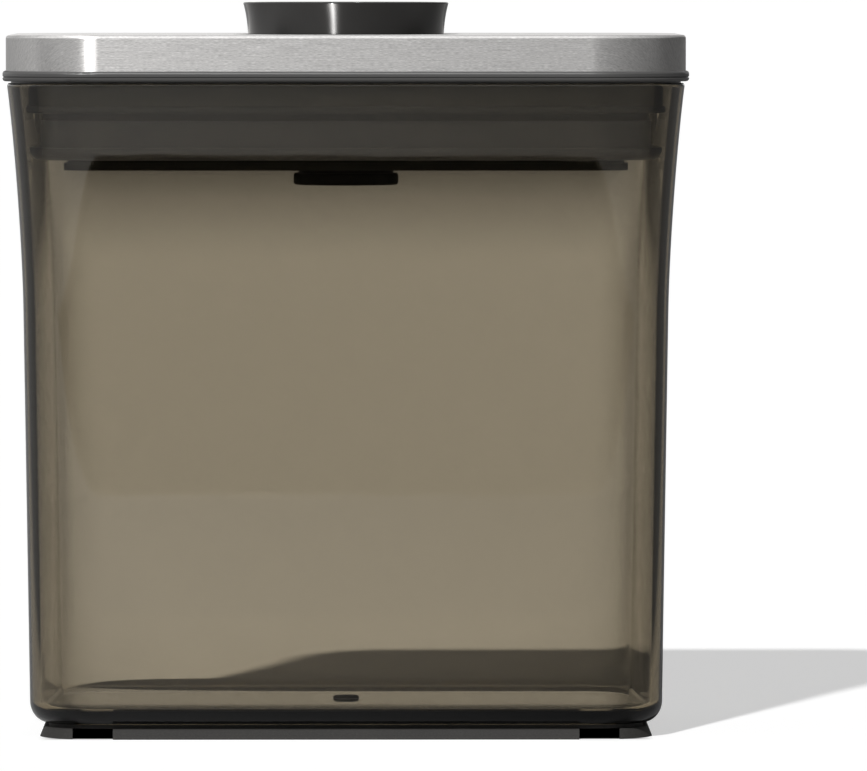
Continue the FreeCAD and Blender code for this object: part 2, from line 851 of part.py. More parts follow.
def make_button_knob():
    body = new_body("button_knob")
    disc_z = knob_top_z - s.disc_height - s.disc_sink
    roof_z = knob_top_z - s.knob_top
    bore = knob_base_radius - s.knob_wall
    recess = s.disc_radius + s.fit_gap
    revolve(
        body, "shell",
        (ZERO, roof_z),
        (bore, roof_z),
        (bore, knob_base_z),
        (knob_base_radius, knob_base_z),
        (knob_base_radius, lid_top_z, None, "leaving"),
        (s.knob_radius, knob_top_z - s.knob_edge),
        (s.knob_radius - s.knob_edge, knob_top_z),
        (recess, knob_top_z),
        (recess, disc_z),
        (ZERO, disc_z),
    )
    for number, x, y in knob_screw_places():
        pad(body, f"boss_{number}", knob_base_z, roof_z, disc(s.screw_radius + s.boss_wall, x, y))
        cut(body, f"pilot_{number}", knob_base_z, knob_base_z + s.screw_bite, disc(s.screw_radius, x, y))
    return body


def make_button_disc():
    body = new_body("button_disc")
    top_z = knob_top_z - s.disc_sink
    pad(body, "disc", top_z - s.disc_height, top_z, disc(s.disc_radius))
    return body


def make_button_plunger():
    body = new_body("button_plunger")
    revolve(
        body, "cup",
        (ZERO, plunger_roof_z),
        (plunger_bore, plunger_roof_z),
        (plunger_bore, plunger_base_z),
        (stop_lip_radius, plunger_base_z),
        (stop_lip_radius, collar_base_z),
        (plunger_radius, collar_base_z),
        (plunger_radius, knob_base_z),
        (ZERO, knob_base_z),
    )
    for number, x, y in knob_screw_places():
        hole = disc(s.screw_radius + s.screw_hole_gap, x, y)
        cut(body, f"screw_hole_{number}", plunger_roof_z, knob_base_z, hole)
    add_cam_track(body)
    return body


def add_cam_track(body):
    """The track that the latch wire runs in, round a heart that catches it at the end of a press."""
    half = s.latch_swing + s.wire_radius + s.track_side
    back_half = half + s.track_back_side
    back = rectangle(-back_half, back_half, track_floor_y - s.track_back, track_floor_y)
    pad(body, "track_back", plunger_base_z, plunger_roof_z, back)
    low_z = latch_tip_z - s.wire_radius - s.track_margin
    high_z = latch_tip_z + full_travel + s.wire_radius + s.track_margin
    cut_along_y(body, "track", track_floor_y, stop_lip_radius, rectangle(-half, half, low_z, high_z))
    notch_z = latch_tip_z + s.press_travel - s.wire_radius - s.track_margin
    shoulder_z = notch_z + s.heart_notch
    start_z = latch_tip_z + s.wire_radius + s.track_margin
    heart = outline(
        (ZERO, start_z),
        (s.heart_half_width, start_z + s.heart_point),
        (s.heart_half_width, shoulder_z),
        (ZERO, notch_z),
        (-s.heart_half_width, shoulder_z),
        (-s.heart_half_width, start_z + s.heart_point),
    )
    pad_along_y(body, "heart", track_floor_y, plunger_radius - s.track_margin, heart)


def make_knob_screws():
    body = new_body("knob_screws")
    length = knob_base_z + s.screw_bite - plunger_roof_z
    for number, x, y in knob_screw_places():
        screw(body, f"screw_{number}", x, y, plunger_roof_z, length)
    return body


def make_return_spring():
    """Coil of half turns, each two arcs that meet in line."""
    low_z = lower_floor_z + s.spring_wire_radius
    high_z = plunger_roof_z - s.spring_wire_radius
    rise = (high_z.value - low_z.value) / (2 * math.pi * SPRING_TURNS)
    radius = s.spring_radius.value

    def station(angle):
        point = FreeCAD.Vector(radius * math.cos(angle), radius * math.sin(angle), low_z.value + rise * angle)
        return point, unit(FreeCAD.Vector(-radius * math.sin(angle), radius * math.cos(angle), rise))

    step = math.pi / 2
    stations = [station(step * i) for i in range(round(2 * math.pi * SPRING_TURNS / step) + 1)]
    edges = [arc for here, there in zip(stations, stations[1:]) for arc in biarc(*here, *there)]
    start, along = stations[0]
    section = Part.Wire(Part.Circle(start, along, s.spring_wire_radius.value).toShape())
    feature = doc.addObject("Part::Feature", "return_spring")
    feature.Label = "return_spring"
    feature.Shape = Part.Wire(edges).makePipeShell([section], True, False)
    gap = rise * 2 * math.pi - 2 * s.spring_wire_radius.value
    print(f"return_spring: gap between turns {gap:.2f} mm")
    return feature


def biarc(start, start_way, end, end_way):
    """Two arcs between two points that leave and arrive along the given directions."""
    chord = end - start
    ways = start_way + end_way
    spread = 2 * (1 - start_way.dot(end_way))
    reach = (math.sqrt(chord.dot(ways) ** 2 + spread * chord.dot(chord)) - chord.dot(ways)) / spread
    first, second = start + start_way * reach, end - end_way * reach
    joint = (first + second) / 2
    return [arc_under(start, first, joint), arc_under(joint, second, end)]


def arc_under(start, peak, end):
    """The arc that touches both legs of a peak at their far ends."""
    middle = (start + end) / 2
    height = (peak - middle).Length
    half_chord = (end - start).Length / 2
    sagitta = half_chord * math.tan(math.atan2(height, half_chord) / 2)
    return Part.Arc(start, middle + (peak - middle) * (sagitta / height), end).toShape()


# Mechanism in the lid

def make_button_guide():
    body = new_body("button_guide")
    wing_x = pivot_x + s.ear_half_width + s.wing_end
    pad(body, "wings", wing_base_z, wing_top_z, rectangle(-wing_x, wing_x, -s.wing_half_y, s.wing_half_y))
    cut(body, "wing_bore", wing_base_z, wing_top_z, disc(tube_bore))
    revolve(
        body, "tube",
        (plunger_radius + s.guide_gap, collar_base_z),
        (tube_radius, collar_base_z),
        (tube_radius, lid_top_z),
        (tube_bore, lid_top_z),
        (tube_bore, collar_top_z),
        (plunger_radius + s.guide_gap, collar_top_z),
    )
    for number, (i, j) in enumerate(QUARTERS, start=1):
        x, y = s.guide_screw_x * i, s.guide_screw_y * j
        hole = disc(s.screw_radius + s.screw_hole_gap, x, y)
        cut(body, f"screw_hole_{number}", wing_base_z, wing_top_z, hole)
        low_x, high_x = pivot_x * i - s.ear_half_width, pivot_x * i + s.ear_half_width
        ear = rectangle(low_x, high_x, ear_start_y * j, ear_end_y * j)
        pad(body, f"ear_{number}", pivot_z - s.ear_height, wing_base_z, ear)
    for side in SIDES:
        hole = disc(s.pin_radius, pivot_x * side, pivot_z)
        cut_along_y(body, f"pin_hole_{'right' if side > 0 else 'left'}", -ear_end_y, ear_end_y, hole)
    add_latch_bracket(body)
    return body


def add_latch_bracket(body):
    """Roof and wall that carry the latch wire, and the window that lets its tip through the collar."""
    half = s.bracket_half_width
    wall_y = latch_y + s.wire_radius + s.latch_clearance
    end_y = wall_y + s.bracket_wall
    roof_z = latch_pivot_z + s.wire_radius + s.track_margin
    top_z = roof_z + s.bracket_roof
    pad(body, "latch_roof", roof_z, top_z, rectangle(-half, half, tube_bore + s.tube_wall / 2, end_y))
    wall_base_z = latch_pivot_z - s.wire_radius - s.bracket_roof
    pad(body, "latch_wall", wall_base_z, roof_z, rectangle(-half, half, wall_y, end_y))
    hole = disc(s.wire_radius + s.pin_gap, ZERO, latch_pivot_z)
    cut_along_y(body, "latch_hole", wall_y, end_y, hole)
    window_half = s.latch_swing + s.wire_radius + s.track_side
    window = rectangle(-window_half, window_half, collar_base_z, collar_top_z)
    cut_along_y(body, "latch_window", plunger_bore, tube_radius + s.overrun, window)


def make_guide_screws():
    body = new_body("guide_screws")
    length = s.wing_height + s.screw_bite
    for number, (i, j) in enumerate(QUARTERS, start=1):
        screw(body, f"screw_{number}", s.guide_screw_x * i, s.guide_screw_y * j, wing_base_z, length)
    return body


def make_rocker_pins():
    body = new_body("rocker_pins")
    for side in SIDES:
        name = f"pin_{'right' if side > 0 else 'left'}"
        pad_along_y(body, name, -ear_end_y, ear_end_y, disc(s.pin_radius, pivot_x * side, pivot_z))
    return body


def make_rocker(label, side):
    """A yoke drawn level about its pivot, then tipped by half its swing so that its fingers are up."""
    body = new_body(label)
    pad_along_y(body, "barrel", -s.barrel_half_length, s.barrel_half_length, disc(s.barrel_radius))
    web = rectangle(ZERO, nose_length * side, -s.finger_half_height, s.finger_half_height)
    pad_along_y(body, "web", -s.nose_half_length, s.nose_half_length, web)
    nose = disc(s.tip_radius, nose_length * side)
    pad_along_y(body, "nose", -s.nose_half_length, s.nose_half_length, nose)
    bar = rectangle(ZERO, s.finger_length * -side, -s.finger_half_height, s.finger_half_height)
    tip = disc(s.tip_radius, s.finger_length * -side)
    for j in SIDES:
        low_y, high_y = finger_y * j - s.finger_width / 2, finger_y * j + s.finger_width / 2
        name = "back" if j > 0 else "front"
        pad_along_y(body, f"finger_{name}", low_y, high_y, bar)
        pad_along_y(body, f"tip_{name}", low_y, high_y, tip)
    bore = disc(s.pin_radius + s.pin_gap)
    cut_along_y(body, "bore", -s.barrel_half_length, s.barrel_half_length, bore)
    body.Placement.Rotation.Axis = FreeCAD.Vector(0, side, 0)
    bind(body, "Placement.Rotation.Angle", rocker_tilt)
    bind(body, "Placement.Base.x", pivot_x * side)
    bind(body, "Placement.Base.z", pivot_z)
    return body


def make_latch_wire():
    """A wire drawn hanging from its pivot, then swung into the first channel of the track."""
    wall_y = latch_y + s.wire_radius + s.latch_clearance
    tip_y = track_floor_y + s.track_margin
    arms = (
        ("pivot_arm", ZERO, latch_y, wall_y + s.bracket_wall - latch_y, "Y"),
        ("drop", -latch_length, latch_y, latch_length, "Z"),
        ("tip_arm", -latch_length, tip_y, latch_y - tip_y, "Y"),
    )
    pieces = []
    for name, z, y, length, axis in arms:
        arm = doc.addObject("Part::Cylinder", name)
        bind(arm, "Radius", s.wire_radius)
        bind(arm, "Height", length)
        bind(arm, "Placement.Base.y", y)
        bind(arm, "Placement.Base.z", z)
        if axis == "Y":
            arm.Placement.Rotation = FreeCAD.Rotation(FreeCAD.Vector(1, 0, 0), -90)
        pieces.append(arm)
    for name, z in (("upper_bend", ZERO), ("lower_bend", -latch_length)):
        bend = doc.addObject("Part::Sphere", name)
        bind(bend, "Radius", s.wire_radius)
        bind(bend, "Placement.Base.y", latch_y)
        bind(bend, "Placement.Base.z", z)
        pieces.append(bend)
    wire = doc.addObject("Part::MultiFuse", "latch_wire")
    wire.Label = "latch_wire"
    wire.Shapes = pieces
    wire.Placement.Rotation.Axis = FreeCAD.Vector(0, 1, 0)
    bind(wire, "Placement.Rotation.Angle", latch_lean)
    bind(wire, "Placement.Base.z", latch_pivot_z)
    return wire


def make_parts():
    """Every sub-part, from the ground up."""
    return [
        make_jar_body(),
        make_foot_ring(),
        make_steel_cover(),
        make_lid_frame(),
        make_gasket(),
        make_lower_frame(),
        make_lower_cover(),
        make_cover_screws(),
        make_accessory_hub(),
        make_hub_ring(),
        make_button_knob(),
        make_button_disc(),
        make_button_plunger(),
        make_knob_screws(),
        make_return_spring(),
        make_button_guide(),
        make_guide_screws(),
        make_rocker_pins(),
        make_rocker("rocker_left", -1),
        make_rocker("rocker_right", 1),
        make_latch_wire(),
    ]


def check(parts):
    """Raises an error if anything in the document failed or a sub-part has no sound solid."""
    for item in doc.Objects:
        if "Invalid" in item.State or "Error" in item.State:
            raise RuntimeError(f"{item.Label} failed: {item.State}")
    for part in parts:
        if part.Shape.isNull() or not part.Shape.isValid() or not part.Shape.Solids:
            raise RuntimeError(f"{part.Label} has no sound solid")


def main():
    parts = make_parts()
    doc.recompute()
    check(parts)
    os.makedirs("parts", exist_ok=True)
    for part in parts:
        part.Shape.exportStep(f"parts/{part.Label}.step")
        solids = len(part.Shape.Solids)
        print(f"{part.Label}: {solids} solid(s), {part.Shape.Volume / 1000:.2f} cm3")


main()
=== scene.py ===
"""Storage jar with a push-button sealing lid: shells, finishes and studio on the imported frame, in metres."""
import math

import bmesh
import bpy
from bpy.props import FloatProperty, FloatVectorProperty, PointerProperty
from mathutils import Matrix, Vector


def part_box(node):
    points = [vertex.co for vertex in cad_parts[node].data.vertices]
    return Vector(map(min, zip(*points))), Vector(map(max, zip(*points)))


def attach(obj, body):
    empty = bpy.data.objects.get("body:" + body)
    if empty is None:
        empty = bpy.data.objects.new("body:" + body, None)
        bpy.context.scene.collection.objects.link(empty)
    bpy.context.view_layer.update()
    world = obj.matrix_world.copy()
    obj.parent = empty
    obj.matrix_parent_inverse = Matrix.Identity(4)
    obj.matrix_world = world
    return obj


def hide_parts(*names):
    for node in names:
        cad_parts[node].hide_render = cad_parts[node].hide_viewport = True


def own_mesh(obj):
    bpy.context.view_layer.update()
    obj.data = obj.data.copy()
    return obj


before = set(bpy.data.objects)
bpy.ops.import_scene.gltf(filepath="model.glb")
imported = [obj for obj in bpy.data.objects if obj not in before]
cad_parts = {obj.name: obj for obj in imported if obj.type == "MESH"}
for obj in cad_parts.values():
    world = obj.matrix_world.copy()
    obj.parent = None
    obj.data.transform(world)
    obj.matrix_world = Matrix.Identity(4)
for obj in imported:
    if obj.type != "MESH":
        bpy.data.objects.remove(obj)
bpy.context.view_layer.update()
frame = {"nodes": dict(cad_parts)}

bl_info = {
    "name": "Storage Jar",
    "version": (1, 0, 0),
    "blender": (4, 5, 0),
    "location": "3D View > Sidebar > Jar",
    "description": "Dresses a tinted storage jar with a push-button sealing lid",
    "category": "Object",
}

# Places that the frame gives
JAR_LOW, JAR_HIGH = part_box("jar_body")
FOOT_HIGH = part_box("foot_ring")[1]
COVER_LOW, COVER_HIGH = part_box("steel_cover")
SEAL_LOW, SEAL_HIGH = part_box("gasket")
KNOB_LOW, KNOB_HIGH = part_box("button_knob")
DISC_LOW, DISC_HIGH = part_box("button_disc")
HUB_LOW, HUB_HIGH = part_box("accessory_hub")
SPRING_LOW, SPRING_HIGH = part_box("return_spring")

# How finely round forms are divided
CORNER_STEPS = 32
TURN_STEPS = 128
ROUND_STEPS = 6
FLARE_STEPS = 24
WIRE_STEPS = 12
BOSS_STEPS = 32
BOSSES = 3
SHARP_ANGLE = math.radians(40)
MERGE_GAP = 1e-6
LEVEL_GAP = 1e-6

# Small shapes as shares of the sizes that they follow
RIM_ARM_SHARE = 0.97
RECESS_EDGE_SHARE = 1 / 3
HALF_ROUND_SHARE = 0.5
# Share of the foot's reach where the painted shadow under it starts to fade.
FOOT_SHADOW_FADE_SHARE = 0.9
MARK_START_SHARE = 0.2
MARK_END_SHARE = 1.1

# Fine marks in the finishes
NOISE_MIDDLE = 0.5
FLOW_SCALE = 45.0
FLOW_DETAIL = 3.0
FLOW_SHARE = 0.4
GRAIN_DETAIL = 3.0
GRAIN_ROUGHNESS = 0.6
GRAIN_TONE = 4.0
FINE_LINES = (900.0, 9000.0, 9000.0)
BROAD_LINES = (120.0, 5200.0, 5200.0)
LINE_DETAIL = 2.0
LINE_ROUGHNESS = 0.6
FINE_SHARE = 0.65
LINE_TONE = 3.0
LINE_GLOSS = 0.3
LINE_TURN = 0.25
CLEAR_IOR = 1.5
RIPPLE_SCALE = 22.0
RIPPLE_DETAIL = 2.0
RIPPLE_DEPTH = 0.00002
HAZE_SCALE = 160.0
HAZE_DETAIL = 4.0
HAZE_START = 0.45
HAZE_END = 0.8
HAZE_GLOSS = 0.02
# Near-black colour painted onto the moulding mark as shade.
MARK_PAINTED_SHADE = 0.02

# Stage
SENSOR_WIDTH = 36.0
LEAST_DEPTH = 0.0001


def length(label, default, description):
    """A size that a user may change, in metres."""
    return FloatProperty(
        name=label, description=description, default=default, min=0.0, precision=5, unit="LENGTH"
    )


def share(label, default, description):
    """A plain number."""
    return FloatProperty(name=label, description=description, default=default, precision=4)


def colour(label, default, description):
    """A colour that a user may change."""
    return FloatVectorProperty(
        name=label, description=description, default=default, size=3, subtype="COLOR", min=0.0, max=1.0
    )


def bearing(label, degrees, description):
    """An angle that a user may change."""
    return FloatProperty(name=label, description=description, default=math.radians(degrees), subtype="ANGLE")


def point(label, default, description):
    """A place that a user may change, in metres."""
    return FloatVectorProperty(name=label, description=description, default=default, size=3, unit="LENGTH")


class JarSizes(bpy.types.PropertyGroup):
    """Sizes of the jar and its foot."""

    rim_corner: length("Rim corner", 0.0223, "Corner radius at the rim")
    waist_corner: length("Waist corner", 0.0184, "Corner radius where the flare starts")
    base_corner: length("Base corner", 0.0169, "Corner radius at the base")
    flare: length("Flare", 0.0552, "Height of the flared mouth")
    wall: length("Wall", 0.0026, "Thickness of the wall")
    floor: length("Floor", 0.0035, "Thickness of the floor")
    base_round: length("Base rounding", 0.005, "Rounding of the outer bottom edge")
    floor_round: length("Floor rounding", 0.0018, "Rounding of the inner bottom edge")
    rim_round: length("Rim rounding", 0.0007, "Rounding of the rim")
    groove_corner: length("Groove corner", 0.0125, "Outer corner radius of the groove for the foot")
    groove_width: length("Groove width", 0.0042, "Width of the groove for the foot")
    groove_depth: length("Groove depth", 0.0012, "Depth of the groove for the foot")
    gate_radius: length("Gate mark", 0.0031, "Radius of the moulding mark in the floor")
    gate_height: length("Gate mark height", 0.00075, "Height of the moulding mark")
    gate_round: length("Gate mark rounding", 0.0006, "Rounding of the moulding mark")
    foot_corner: length("Foot corner", 0.0146, "Corner radius of the foot on the ground")
    foot_slant: length("Foot slant", 0.001, "How far the foot's outer face leans in")
    foot_width: length("Foot width", 0.008, "Width of the foot")
    foot_height: length("Foot height", 0.00245, "Height of the foot")
    foot_edge: length("Foot edge", 0.0003, "Rounding of the foot's upper edge")
    spigot_corner: length("Spigot corner", 0.0124, "Outer corner radius of the rib in the groove")
    spigot_width: length("Spigot width", 0.004, "Width of the rib in the groove")
    notch_place: length("Notch place", 0.06, "Distance of a notch from the middle")
    notch_width: length("Notch width", 0.0096, "Width of a notch in the foot")


class LidSizes(bpy.types.PropertyGroup):
    """Sizes of the lid's cover and seal."""

    cover_corner: length("Cover corner", 0.0225, "Corner radius of the steel cover")
    cover_sheet: length("Cover sheet", 0.0008, "Thickness of the steel")
    cover_round: length("Cover rounding", 0.0008, "Rounding of the cover's top edge")
    hole_radius: length("Button hole", 0.0271, "Radius of the button's hole")
    hole_round: length("Hole rounding", 0.0003, "Rounding of the hole's edge")
    neck_corner: length("Seal neck", 0.0138, "Outer corner radius of the seal's neck")
    neck_wall: length("Seal neck wall", 0.0016, "Thickness of the seal's neck")
    lip_height: length("Seal lip", 0.0017, "Height of the seal's lip")
    lip_round: length("Seal lip rounding", 0.0006, "Rounding of the seal's lip")


class ButtonSizes(bpy.types.PropertyGroup):
    """Sizes of the button, its spring and the hub under the lid."""

    flare: length("Button flare", 0.0012, "How much wider the button is at its top")
    edge: length("Button edge", 0.0005, "Rounding of the button's top edge")
    wall: length("Button wall", 0.002, "Thickness of the button's side")
    top: length("Button top", 0.0024, "Thickness of the button's top")
    inlay_gap: length("Inlay gap", 0.0001, "Gap round the inlay")
    inlay_round: length("Inlay rounding", 0.00015, "Rounding of the inlay's edge")
    boss_place: length("Boss place", 0.0085, "Distance of the screw bosses from the axis")
    boss_radius: length("Boss radius", 0.00315, "Radius of a screw boss")
    boss_bore: length("Boss bore", 0.00125, "Radius of a screw boss's bore")
    hub_flange: length("Hub flange", 0.0029, "Height of the hub's flange")
    hub_neck: length("Hub neck", 0.0114, "Radius of the hub's neck")
    hub_neck_height: length("Hub neck height", 0.0012, "Height of the hub's neck")
    hub_round: length("Hub rounding", 0.0007, "Rounding of the hub's flange")
    hub_spigot: length("Hub spigot", 0.006, "Radius of the hub's spigot")
    hub_groove: length("Hub groove", 0.0008, "Depth of the groove for the spring ring")
    hub_groove_height: length("Hub groove height", 0.0008, "Height of the groove for the spring ring")
    hub_end: length("Hub end", 0.0003, "Height of the spigot above its groove")
    spring_wire: length("Spring wire", 0.0007, "Radius of the spring's wire")
    spring_turns: share("Spring turns", 5.5, "Turns of the return spring")


class Finishes(bpy.types.PropertyGroup):
    """Colours of the materials."""

    tint: colour("Tint", (0.477, 0.413, 0.275), "Colour that the clear plastic lets through")
    steel: colour("Steel", (0.6, 0.59, 0.58), "Brushed steel")
    wire: colour("Wire", (0.5, 0.5, 0.51), "Drawn and plated steel")
    button: colour("Button", (0.006, 0.0055, 0.005), "Polished button")
    frame: colour("Lid frame", (0.05, 0.049, 0.048), "Plastic of the lid frame")
    seal: colour("Seal", (0.062, 0.065, 0.073), "Silicone of the seal")
    plug: colour("Plug", (0.11, 0.116, 0.132), "Plastic of the plug")
    hub: colour("Hub", (0.003, 0.003, 0.003), "Plastic of the hub")
    foot: colour("Foot", (0.029, 0.028, 0.0265), "Plastic of the foot")
    mechanism: colour("Mechanism", (0.28, 0.28, 0.27), "Plastic of the button's guide and plunger")
    lever: colour("Levers", (0.62, 0.6, 0.54), "Slick plastic of the rockers")
    tint_density: share("Tint density", 470.0, "Strength of the tint, per metre of plastic")


class StageSettings(bpy.types.PropertyGroup):
    """Camera, key lamp, surround and floor."""

    eye: point("Camera", (0.0, -2.554, 0.182), "Place of the camera")
    aim: point("Aim", (0.0206, -0.054, 0.0842), "Point that the camera looks at")
    lens: share("Lens", 441.2, "Focal length in millimetres")
    floor_half: length("Floor", 30.0, "Half the width of the floor")
    floor_front: length("Floor front", 0.766, "How far the floor reaches in front of the jar")
    sweep_back: length("Sweep back", 4.1, "How far the lit floor reaches behind the jar")
    sweep_fade: length("Sweep fade", 3.9, "Distance over which the lit floor ends at the back")
    sweep_end: share("Sweep end", 0.05, "Share of the light that is left at the back")
    dip: share("Dip", 0.06, "Share of the light that the floor behind the jar lacks at most")
    dip_start: length("Dip start", 0.5, "Distance behind the jar where the dip starts")
    dip_full: length("Dip full", 1.05, "Distance behind the jar where the dip is deepest")
    dip_end: length("Dip end", 1.08, "Distance behind the jar where the dip starts to end")
    dip_clear: length("Dip clear", 1.13, "Distance behind the jar where the dip has ended")
    side_near: share("Side start", 0.05, "Where the light behind the jar starts to fall off, as a slope")
    side_far: share("Side end", 0.15, "Where that light has fallen to the side tone, as a slope")
    side_tone: share("Side tone", 0.66, "Light behind the jar, to its left and right")
    card_near: share("Card start", 0.3, "Where the dark cards beside the jar start, as a slope")
    card_full: share("Card full", 0.42, "Where the dark cards beside the jar are darkest, as a slope")
    card_tone: share("Card tone", 0.08, "Light of the dark cards beside the jar")
    card_reach: length("Card reach", 0.6, "How far in front of the jar the slopes start on the floor")
    front_tone: share("Front tone", 0.16, "Light in front of the jar, as it shows through glass")
    key_turn: bearing("Key turn", 17, "Turn of the key lamp to the left of the front")
    key_rise: bearing("Key rise", 34, "Height of the key lamp over the floor")
    key_width: bearing("Key width", 2, "Apparent width of the key lamp")
    key_strength: share("Key strength", 3.8, "Strength of the key lamp")
    ambient: share("Ambient", 0.105, "Strength of the light from all round")
    floor_tone: share("Floor tone", 0.6, "Grey of the floor as lamps light it")
    glass_tone: share("Floor in glass", 1.28, "Grey of the lit floor as it shows through glass")
    mirror_left: share("Floor in mirrors, left", 0.75, "Grey of the floor at the left, in polished faces")
    mirror_right: share("Floor in mirrors, right", 0.4, "Grey of the floor at the right, in polished faces")
    mirror_near: share("Floor in mirrors, near", 0.65, "Share of that grey close to the jar")
    mirror_half: length("Mirror change", 0.06, "Distance from the middle over which that grey changes")
    mirror_start: length("Mirror near start", 0.4, "Distance before the jar where that share starts")
    mirror_end: length("Mirror near end", 0.2, "Distance before the jar where that share is reached")
    floor_lift: share("Floor lift", 0.54, "Light added to the floor where it shows as background")
    sky_left: share("Sky left", 1.6, "Light above the jar at the left, in polished faces")
    sky_right: share("Sky right", 0.75, "Light above the jar at the right, in polished faces")
    sky_from: share("Sky from", -0.5, "Direction to the left where that light starts to change")
    sky_to: share("Sky to", 0.95, "Direction to the right where that light has changed")
    sky_back: share("Sky back", 0.35, "Share of that light behind the jar")
    sky_back_full: share("Sky back full", 0.5, "Direction to the back where that share is reached")
    sky_low: share("Sky low", 0.02, "Height over the horizon where the sky starts")
    sky_full: share("Sky full", 0.3, "Height over the horizon where the sky is full")
    wall_start: share("Wall start", -0.2, "Direction to the front where the white wall starts")
    wall_full: share("Wall full", 0.1, "Direction to the back where the white wall is full")
    wall_end: share("Wall end", 0.25, "Direction to the right where the white wall starts to end")
    wall_dark: share("Wall dark", 0.45, "Direction to the right where the white wall has ended")


# Mesh tools

def core():
    """Half sizes of the rectangle through the four corner axes."""
    corner = bpy.context.scene.jar_sizes.rim_corner
    return JAR_HIGH.x - corner, JAR_HIGH.y - corner


def draw(bm, points, closed):
    """Draws a wire through points of place and rounding, and rounds the corners that have one."""
    corners = []
    vert = None
    for place, *rounding in points:
        new = bm.verts.new(place)
        if vert:
            bm.edges.new((vert, new))
        corners.append((new, *rounding))
        vert = new
    if closed:
        bm.edges.new((vert, corners[0][0]))
    for vert, *rounding in corners:
        if rounding:
            round_corner(bm, vert, *rounding)
    return [*bm.verts, *bm.edges]


def round_corner(bm, vert, offset, steps=ROUND_STEPS):
    """Rounds a corner of a wire, from an offset before it to the same offset after it."""
    bmesh.ops.bevel(
        bm, geom=[vert], offset=offset, offset_type="OFFSET", affect="VERTICES", segments=steps, profile=0.5,
        material=-1, clamp_overlap=False,
    )


def carry(bm, geometry, centre, angle=0.0, run=(0, 0, 0), steps=1):
    """Carries a wire on round a centre, or straight on, and returns where it ends."""
    spun = bmesh.ops.spin(
        bm, geom=geometry, cent=centre, axis=(0, 0, 1), dvec=run, angle=angle, steps=steps, use_merge=False
    )
    return spun["geom_last"]


def sweep(bm, outline, closed=False):
    """Carries an outline of reach, height and rounding round the four corners."""
    core_x, core_y = core()
    points = [((core_x + reach, core_y, z), *rounding) for reach, z, *rounding in outline]
    geometry = draw(bm, points, closed)
    corners = (
        ((core_x, core_y, 0), (-2 * core_x, 0, 0)),
        ((-core_x, core_y, 0), (0, -2 * core_y, 0)),
        ((-core_x, -core_y, 0), (2 * core_x, 0, 0)),
        ((core_x, -core_y, 0), (0, 2 * core_y, 0)),
    )
    for centre, run in corners:
        geometry = carry(bm, geometry, centre, angle=math.pi / 2, steps=CORNER_STEPS)
        geometry = carry(bm, geometry, centre, run=run)
    weld(bm)


def turn(bm, outline, closed=False, x=0.0, y=0.0, steps=TURN_STEPS):
    """Turns an outline of radius, height and rounding about an upright axis."""
    part = bmesh.new()
    points = [((x + radius, y, z), *rounding) for radius, z, *rounding in outline]
    geometry = draw(part, points, closed)
    bmesh.ops.spin(
        part, geom=geometry, cent=(x, y, 0), axis=(0, 0, 1), dvec=(0, 0, 0), angle=2 * math.pi, steps=steps,
        use_merge=True,
    )
    weld(part)
    add_mesh(bm, part)


def add_mesh(bm, part):
    """Adds one mesh to another."""
    mesh = bpy.data.meshes.new("part")
    part.to_mesh(mesh)
    part.free()
    bm.from_mesh(mesh)
    bpy.data.meshes.remove(mesh)


def weld(bm):
    """Closes seams and poles."""
    bmesh.ops.remove_doubles(bm, verts=bm.verts, dist=MERGE_GAP)


def open_edges(bm, z):
    """Open edges that lie level at a height."""
    return [
        edge for edge in bm.edges
        if edge.is_boundary and all(abs(vert.co.z - z) < LEVEL_GAP for vert in edge.verts)
    ]


def fill_level(bm, z):
    """Closes the single open loop at a height."""
    bmesh.ops.holes_fill(bm, edges=open_edges(bm, z), sides=0)


def bridge_level(bm, z):
    """Joins the two open loops at a height by a flat face with a hole."""
    bmesh.ops.triangle_fill(bm, edges=open_edges(bm, z), normal=(0, 0, 1), use_beauty=True)


def new_piece(bm, name, material, body, node):
    """Makes a mesh a finished piece that stands for a CAD node and rides on its body."""
    weld(bm)
    bmesh.ops.recalc_face_normals(bm, faces=bm.faces)
    mesh = bpy.data.meshes.new(name)
    bm.to_mesh(mesh)
    bm.free()
    mesh.shade_smooth()
    mesh.set_sharp_from_angle(angle=SHARP_ANGLE)
    mesh.materials.append(material)
    piece = bpy.data.objects.new(name, mesh)
    bpy.context.scene.collection.objects.link(piece)
    normals = piece.modifiers.new("Even shading", "WEIGHTED_NORMAL")
    normals.keep_sharp = True
    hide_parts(node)
    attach(piece, body)
    return piece


# Node tools

def new_group(name, inputs, outputs):
    """A shader node group with named sockets, and its tree."""
    tree = bpy.data.node_groups.new(name, "ShaderNodeTree")
    for label, kind, default in inputs:
        socket = tree.interface.new_socket(label, in_out="INPUT", socket_type=kind)
        if default is not None:
            socket.default_value = default
    for label, kind in outputs:
        tree.interface.new_socket(label, in_out="OUTPUT", socket_type=kind)
    return tree


def add(tree, kind, **settings):
    """Adds a node and sets its properties."""
    node = tree.nodes.new(kind)
    for name, value in settings.items():
        setattr(node, name, value)
    return node


def put(node, **values):
    """Sets input sockets by name, with spaces written as underscores."""
    for name, value in values.items():
        node.inputs[name.replace("_", " ")].default_value = value


def math_node(tree, operation, first, second):
    """One step of arithmetic on two sockets or numbers."""
    node = add(tree, "ShaderNodeMath", operation=operation)
    for socket, value in zip(node.inputs, (first, second)):
        if isinstance(value, (int, float)):
            socket.default_value = value
        else:
            tree.links.new(value, socket)
    return node.outputs[0]


def times(tree, first, *others):
    """The product of sockets or numbers."""
    for other in others:
        first = math_node(tree, "MULTIPLY", first, other)
    return first


def less(tree, value):
    """What a value lacks to 1."""
    return math_node(tree, "SUBTRACT", 1.0, value)


def axes(tree, vector):
    """The three parts of a vector."""
    node = add(tree, "ShaderNodeSeparateXYZ")
    tree.links.new(vector, node.inputs[0])
    return node.outputs


